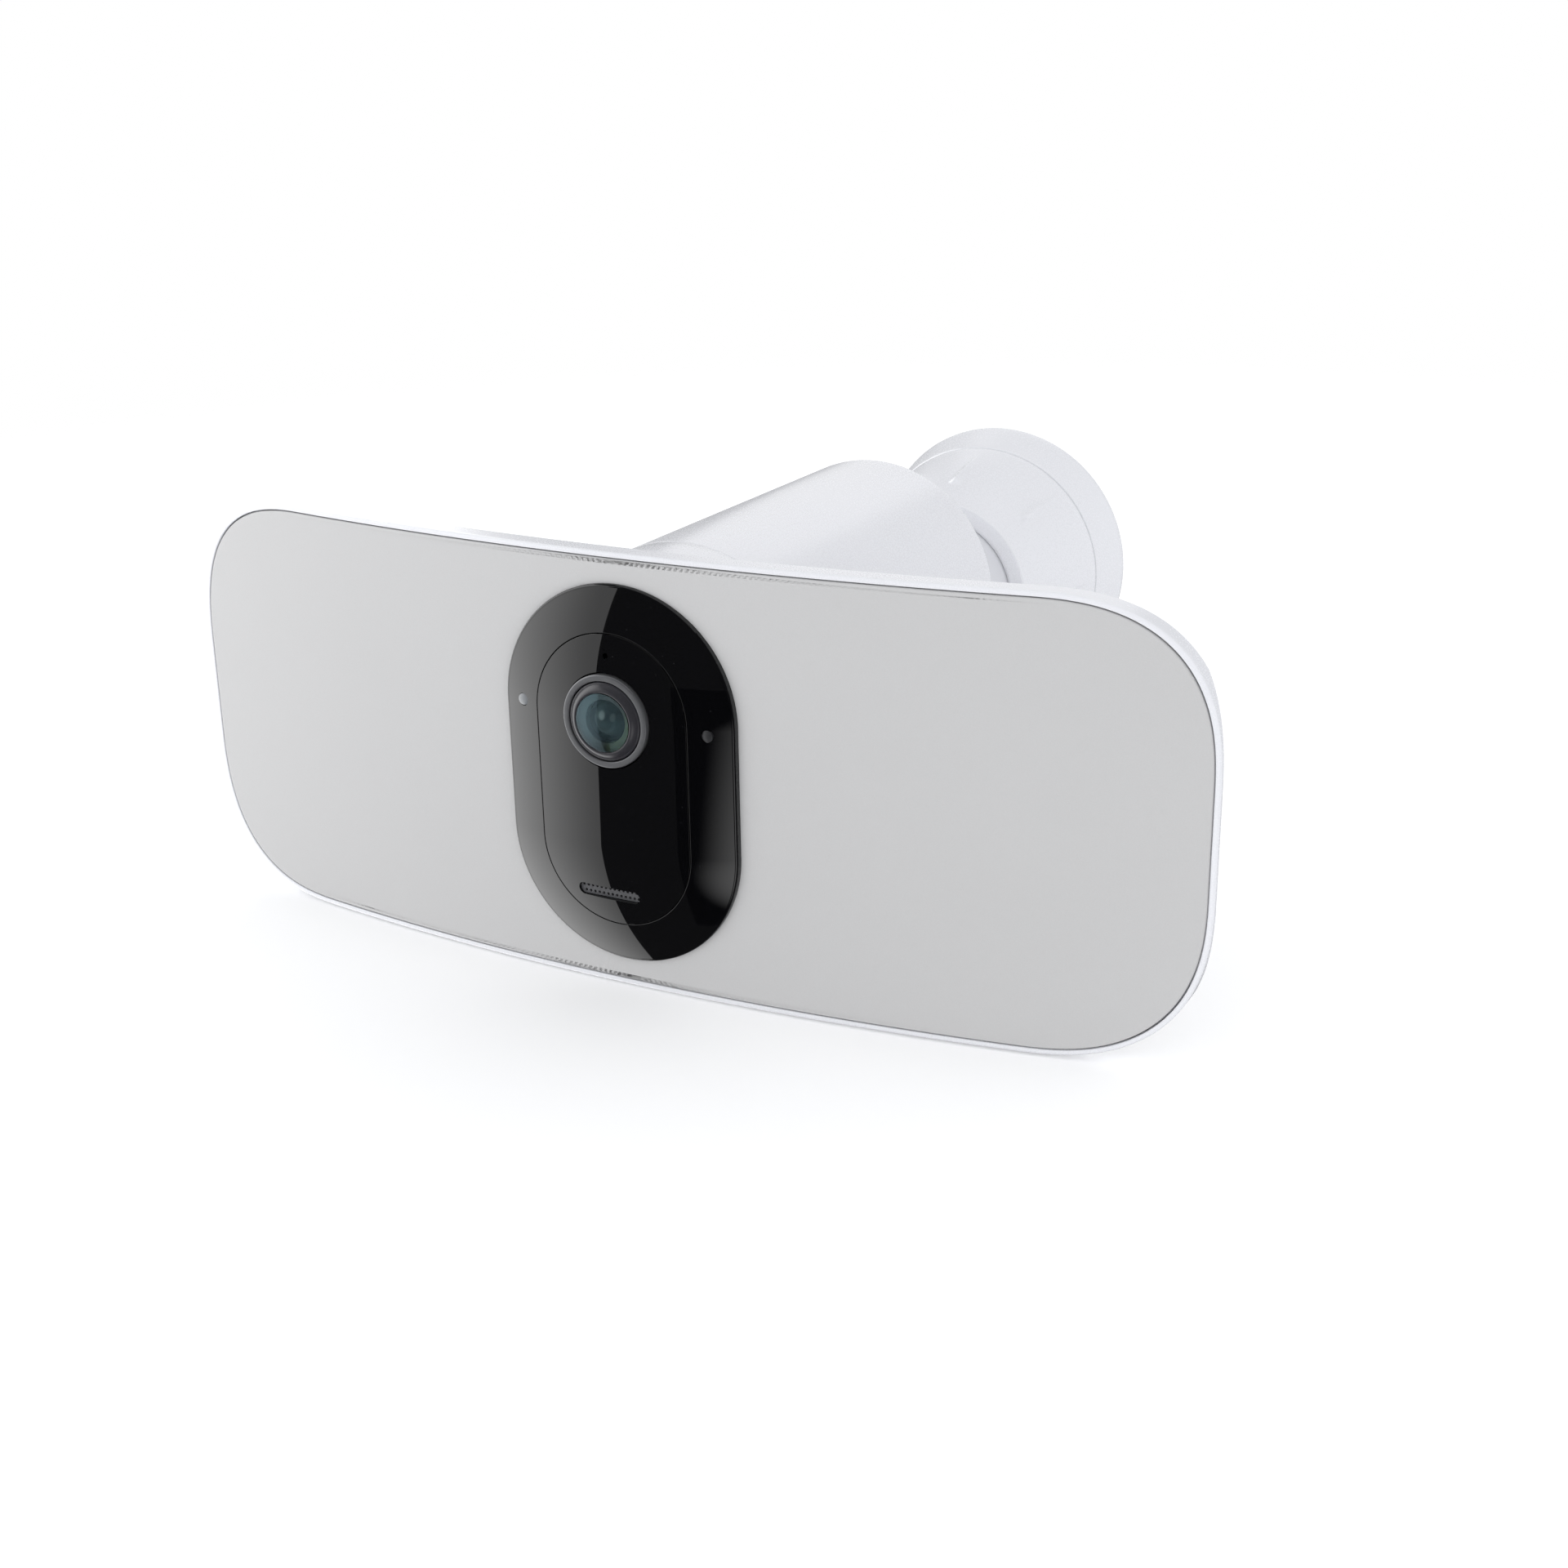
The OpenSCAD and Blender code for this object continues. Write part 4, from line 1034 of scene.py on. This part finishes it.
speckled("grille_black", 1500, (0.075, 0.075, 0.08), (0.11, 0.11, 0.115), 0.35, 0.1,
         {"IOR": 1.5}).on("speaker_grille")
print("face finishes ready")

# %% [markdown]
# A coated lens throws back only part of the light's colours: its reflections are teal at one side
# and green at the other. The front glass is clear with a faint tint. The ring seen through it, the
# hood's seat, has these teal and green reflections painted into its colour as a smooth change from
# side to side, and the second element has two small painted highlights in its own colour.

# %% Coated glass
clear = Finish("front_glass", {"IOR": 1.42, "Roughness": 0.0, "Transmission Weight": 1.0,
                               "Specular Tint": (0.55, 0.85, 1.0, 1)})
smear = clear.noise(160, 2)
clear.feed(colour=clear.blend(smear, (0.80, 0.90, 0.91), (0.84, 0.93, 0.93)))
clear.on(front_glass)

coated = Finish("coated_element", {"IOR": 1.5, "Specular Tint": (0.14, 0.24, 0.26, 1)})
east, rise, away = coated.about_lens(second_radius)
iris = away.step(0.36, 0.44) * (1 - away.step(0.52, 0.6))
edge_ring = away.step(0.82, 0.9)
depths_of_glass = coated.blend(iris, (0.006, 0.012, 0.012), (0.022, 0.034, 0.034))
# Painted highlights: two soft bright spots in the element's colour, standing for reflections of the lights.
painted_glint = 1 - (((east + 0.12) * 3.2) ** 2 + ((rise - 0.30) * 2.6) ** 2).step(0.0, 0.5)
faint_painted_glint = 1 - (((east - 0.42) * 3.6) ** 2 + ((rise - 0.24) * 2.6) ** 2).step(0.0, 0.4)
dark_glass = coated.blend(edge_ring * 0.7, depths_of_glass, (0.035, 0.05, 0.045))
coated.feed(colour=coated.blend(0.85 * painted_glint + 0.3 * faint_painted_glint, dark_glass, (0.42, 0.46, 0.46)),
            roughness=0.02 + 0.05 * edge_ring)
coated.on(second_glass)

speckled("smoked_window", 1500, (0.012, 0.012, 0.014), (0.03, 0.03, 0.033), 0.4, 0.15,
         {"IOR": 1.45}).on(window_pieces["light_sensor_window"])
speckled("status_window", 1500, (0.19, 0.20, 0.21), (0.27, 0.28, 0.29), 0.25, 0.1,
         {"IOR": 1.5, "Coat Weight": 0.5, "Coat Roughness": 0.05}).on(window_pieces["status_window"])
print("glass finishes ready")

# %% [markdown]
# The CAD nodes that stay in view, or that show when something is opened, get finishes of the same
# kind: grey and black plastics, rubber, turned steel, brushed aluminium and circuit board.

# %% Small plastics and rubber
grey_plastic = moulded("grey_plastic", (0.34, 0.345, 0.36), (0.30, 0.305, 0.32), 0.36)
grey_plastic.on("sync_button", "release_button", "wall_plate", "camera_housing")
dark_plastic = moulded("dark_plastic", (0.045, 0.046, 0.05), (0.03, 0.031, 0.034), 0.42)
dark_plastic.on("battery_cradle", "ball_liner", "pressure_ring", "stem_washer", "speaker", "motion_sensor")


def rubber(name, colour):
    made = Finish(name, {"IOR": 1.48, "Specular IOR Level": 0.35})
    pores = made.noise(1700, 3)
    bloom = made.noise(60, 2)
    return made.feed(colour=made.blend(bloom, colour, tuple(c * 1.5 for c in colour)),
                     roughness=0.68 + 0.15 * (pores - 0.5), normal=made.bump(pores, 0.00003, 0.6))


rubber("black_rubber", (0.016, 0.016, 0.017)).on(
    "panel_gasket", "housing_gasket", "arm_seal_ring", "wall_gasket")


# %% Metals
def metal(name, colour, rough, stretch):
    """Metal with fine marks: stretch gives the marks' density along each axis."""
    made = Finish(name, {})
    marks = made.noise(1, 3, stretch)
    stain = made.noise(45, 2)
    return made.feed(colour=made.blend(stain, colour, tuple(c * 0.8 for c in colour)),
                     roughness=rough + 0.18 * (marks - 0.5) + 0.08 * (stain - 0.5),
                     metallic=0.97 + 0.03 * stain, normal=made.bump(marks, 0.00001, 0.5))


steel = metal("turned_steel", (0.56, 0.56, 0.58), 0.3, (2400, 150, 2400))
steel.on("housing_screws", "end_cap_screws", "stem_nut", "base_lock_screw", "charge_socket")
metal("brushed_aluminium", (0.77, 0.775, 0.79), 0.34, (90, 900, 2600)).on(
    "heat_spreader_left", "heat_spreader_right", "microphone")
metal("gold_contact", (0.83, 0.60, 0.26), 0.24, (2600, 200, 2600)).on("battery_contacts")


# %% Boards, lamps and battery
def board(name, mask, trace):
    """Circuit board: solder mask, slightly raised tracks in a square weave, and tinned pads."""
    made = Finish(name, {"IOR": 1.5, "Coat Weight": 0.5, "Coat Roughness": 0.12})
    tracks = made.node("ShaderNodeTexBrick", {}, {"Vector": made.place(), "Scale": 160.0, "Mortar Size": 0.07,
                                                   "Color1": (0, 0, 0, 1), "Color2": (0, 0, 0, 1),
                                                   "Mortar": (1, 1, 1, 1)}, "Fac")
    pads = 1 - made.cells(330).step(0.1, 0.16)
    colour = made.blend(pads * 0.8, made.blend(tracks, mask, trace), (0.6, 0.6, 0.58))
    return made.feed(colour=colour, roughness=0.42 - 0.12 * pads, metallic=0.9 * pads,
                     normal=made.bump(tracks * 0.5 + pads, 0.00004, 0.7))


board("green_board", (0.01, 0.09, 0.035), (0.02, 0.16, 0.06)).on("camera_board", "main_board")
board("white_lamp_board", (0.72, 0.72, 0.70), (0.60, 0.60, 0.58)).on("led_board_left", "led_board_right")
speckled("lamp_phosphor", 2800, (0.86, 0.66, 0.12), (0.93, 0.78, 0.28), 0.4, 0.2,
         {"IOR": 1.45, "Coat Weight": 0.8, "Coat Roughness": 0.15}).on("led_chips_left", "led_chips_right")
speckled("infrared_window", 700, (0.03, 0.006, 0.012), (0.06, 0.012, 0.02), 0.15, 0.1,
         {"IOR": 1.55, "Coat Weight": 1.0, "Coat Roughness": 0.05}).on("infrared_leds", "image_sensor")
sleeve = moulded("battery_sleeve", (0.05, 0.055, 0.065), (0.035, 0.04, 0.048), 0.33, 1.6)
sleeve.on("battery_pack")
unfinished = [name for name, node in frame["nodes"].items()
              if not node.hide_render and not (node.data.materials and node.data.materials[0].node_tree
                                               and len(node.data.materials[0].node_tree.nodes) > 4)]
print("nodes without a finish:", unfinished)

# %% [markdown]
# The light is that of a plain white studio. One tall soft panel stands on the left and falls off
# towards the front, so that the black face shows a clean edge between bright and dark. A soft panel
# behind and a strip in front on the right are seen only in reflections. A broad light overhead fills
# the tops, and a white surround keeps the shadows pale.

# %% Studio
def flat_sheet(name, corners, finish):
    """A four-cornered sheet, in metres, that belongs to the studio and not to the object."""
    mesh = bpy.data.meshes.new(name)
    mesh.from_pydata(corners, [], [(0, 1, 2, 3)])
    mesh.materials.append(finish.material)
    sheet = bpy.data.objects.new(name, mesh)
    bpy.context.scene.collection.objects.link(sheet)
    sheet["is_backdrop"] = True
    return sheet


def glow_plane(name, corners, strength, fade=None, middle=None, spread=None, lights=False):
    """A flat light. Its strength may fade along Y between two places, or away from a middle in X and Z.
    Unless it lights, it is seen only in reflections."""
    light = Finish(name, {})
    glow = light.tree.nodes.new("ShaderNodeEmission")
    glow.inputs["Strength"].default_value = strength
    if fade:
        share = 0.4 + 0.6 * light.along("Y").step(*fade)
        light.tree.links.new((strength * share).socket, glow.inputs["Strength"])
    if middle:
        off_x = (light.along("X") - middle[0]) / spread[0]
        off_z = (light.along("Z") - middle[1]) / spread[1]
        soft = 1 - (off_x * off_x + off_z * off_z).step(0.0, 1.0)
        light.tree.links.new((strength * soft).socket, glow.inputs["Strength"])
    light.tree.links.new(glow.outputs[0], light.tree.nodes["Material Output"].inputs["Surface"])
    plane = flat_sheet(name, corners, light)
    plane.visible_camera = False
    plane.visible_diffuse = lights


paper = Finish("white_floor", {"Base Color": (0.93, 0.93, 0.93, 1), "Roughness": 0.9, "Specular IOR Level": 0.0,
                               "Emission Color": (1, 1, 1, 1), "Emission Strength": 0.16})
far = paper.node("ShaderNodeVectorMath", {"operation": "LENGTH"}, {0: paper.place()}, "Value").step(0.42, 0.8)
see_through = paper.tree.nodes.new("ShaderNodeBsdfTransparent")
fading = paper.tree.nodes.new("ShaderNodeMixShader")
paper.tree.links.new(far.socket, fading.inputs[0])
paper.tree.links.new(paper.shader.outputs[0], fading.inputs[1])
paper.tree.links.new(see_through.outputs[0], fading.inputs[2])
paper.tree.links.new(fading.outputs[0], paper.tree.nodes["Material Output"].inputs["Surface"])
floor_height = -0.0572
floor = flat_sheet("floor", [(x, y, floor_height) for x, y in ((-3, -3), (3, -3), (3, 3), (-3, 3))], paper)
floor.visible_glossy = False

glow_plane("left_softbox", [(-0.9, -1.13, -2.2), (-0.9, 0.9, -2.2), (-0.9, 0.9, 1.0), (-0.9, -1.77, 1.0)],
           2.9, fade=(-1.5, -0.3))
glow_plane("back_left_softbox", [(x, 1.6, z) for x, z in ((-1.1, 0.1), (0.1, 0.1), (0.1, 1.5), (-1.1, 1.5))], 0.9)
glow_plane("front_strip", [(x, -1.12, z) for x, z in ((-0.1, -0.95), (1.0, -0.95), (1.0, -0.05), (-0.1, -0.05))],
           1.9, middle=(0.45, -0.52), spread=(0.5, 0.36))
glow_plane("top_softbox", [(x, y, 1.3) for x, y in ((-0.7, -0.9), (0.9, -0.9), (0.9, 0.7), (-0.7, 0.7))], 0.75,
           lights=True)

world = bpy.data.worlds.new("white_surround")
bpy.context.scene.world = world
world.use_nodes = True
tree = world.node_tree
surround = tree.nodes["Background"]
surround.inputs["Color"].default_value = (0.965, 0.975, 1.0, 1)
surround.inputs["Strength"].default_value = 1.22
rays = tree.nodes.new("ShaderNodeLightPath")
shown = surround
for ray, strength in (("Is Glossy Ray", 0.05), ("Is Camera Ray", 1.0)):
    seen = tree.nodes.new("ShaderNodeBackground")
    seen.inputs["Color"].default_value = (1, 1, 1, 1)
    seen.inputs["Strength"].default_value = strength
    chooser = tree.nodes.new("ShaderNodeMixShader")
    tree.links.new(rays.outputs[ray], chooser.inputs[0])
    tree.links.new(shown.outputs[0], chooser.inputs[1])
    tree.links.new(seen.outputs[0], chooser.inputs[2])
    shown = chooser
tree.links.new(shown.outputs[0], tree.nodes["World Output"].inputs["Surface"])
bpy.context.scene.view_settings.view_transform = "Standard"
print("studio ready")

# %% Camera
turn, lift, tilt = (math.radians(value) for value in (28.05, 20.02, -0.977))
forward = Vector((-math.sin(turn) * math.cos(lift), math.cos(turn) * math.cos(lift), -math.sin(lift)))
level = Vector((math.cos(turn), math.sin(turn), 0))
upright = level.cross(forward)
right = math.cos(tilt) * level + math.sin(tilt) * upright
up = math.cos(tilt) * upright - math.sin(tilt) * level
lens = bpy.data.cameras.new("camera")
lens.lens, lens.sensor_width, lens.clip_start = 49.41, 36.0, 0.01
camera = bpy.data.objects.new("camera", lens)
bpy.context.scene.collection.objects.link(camera)
facing = Matrix((right, up, -forward)).transposed().to_4x4()
camera.matrix_world = Matrix.Translation((0.26994, -0.66717, 0.17934)) @ facing
bpy.context.scene.camera = camera
print("camera ready")

# %% Measure and finish
low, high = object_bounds()
print("visual box", [round(v, 4) for v in (*low, *high)])
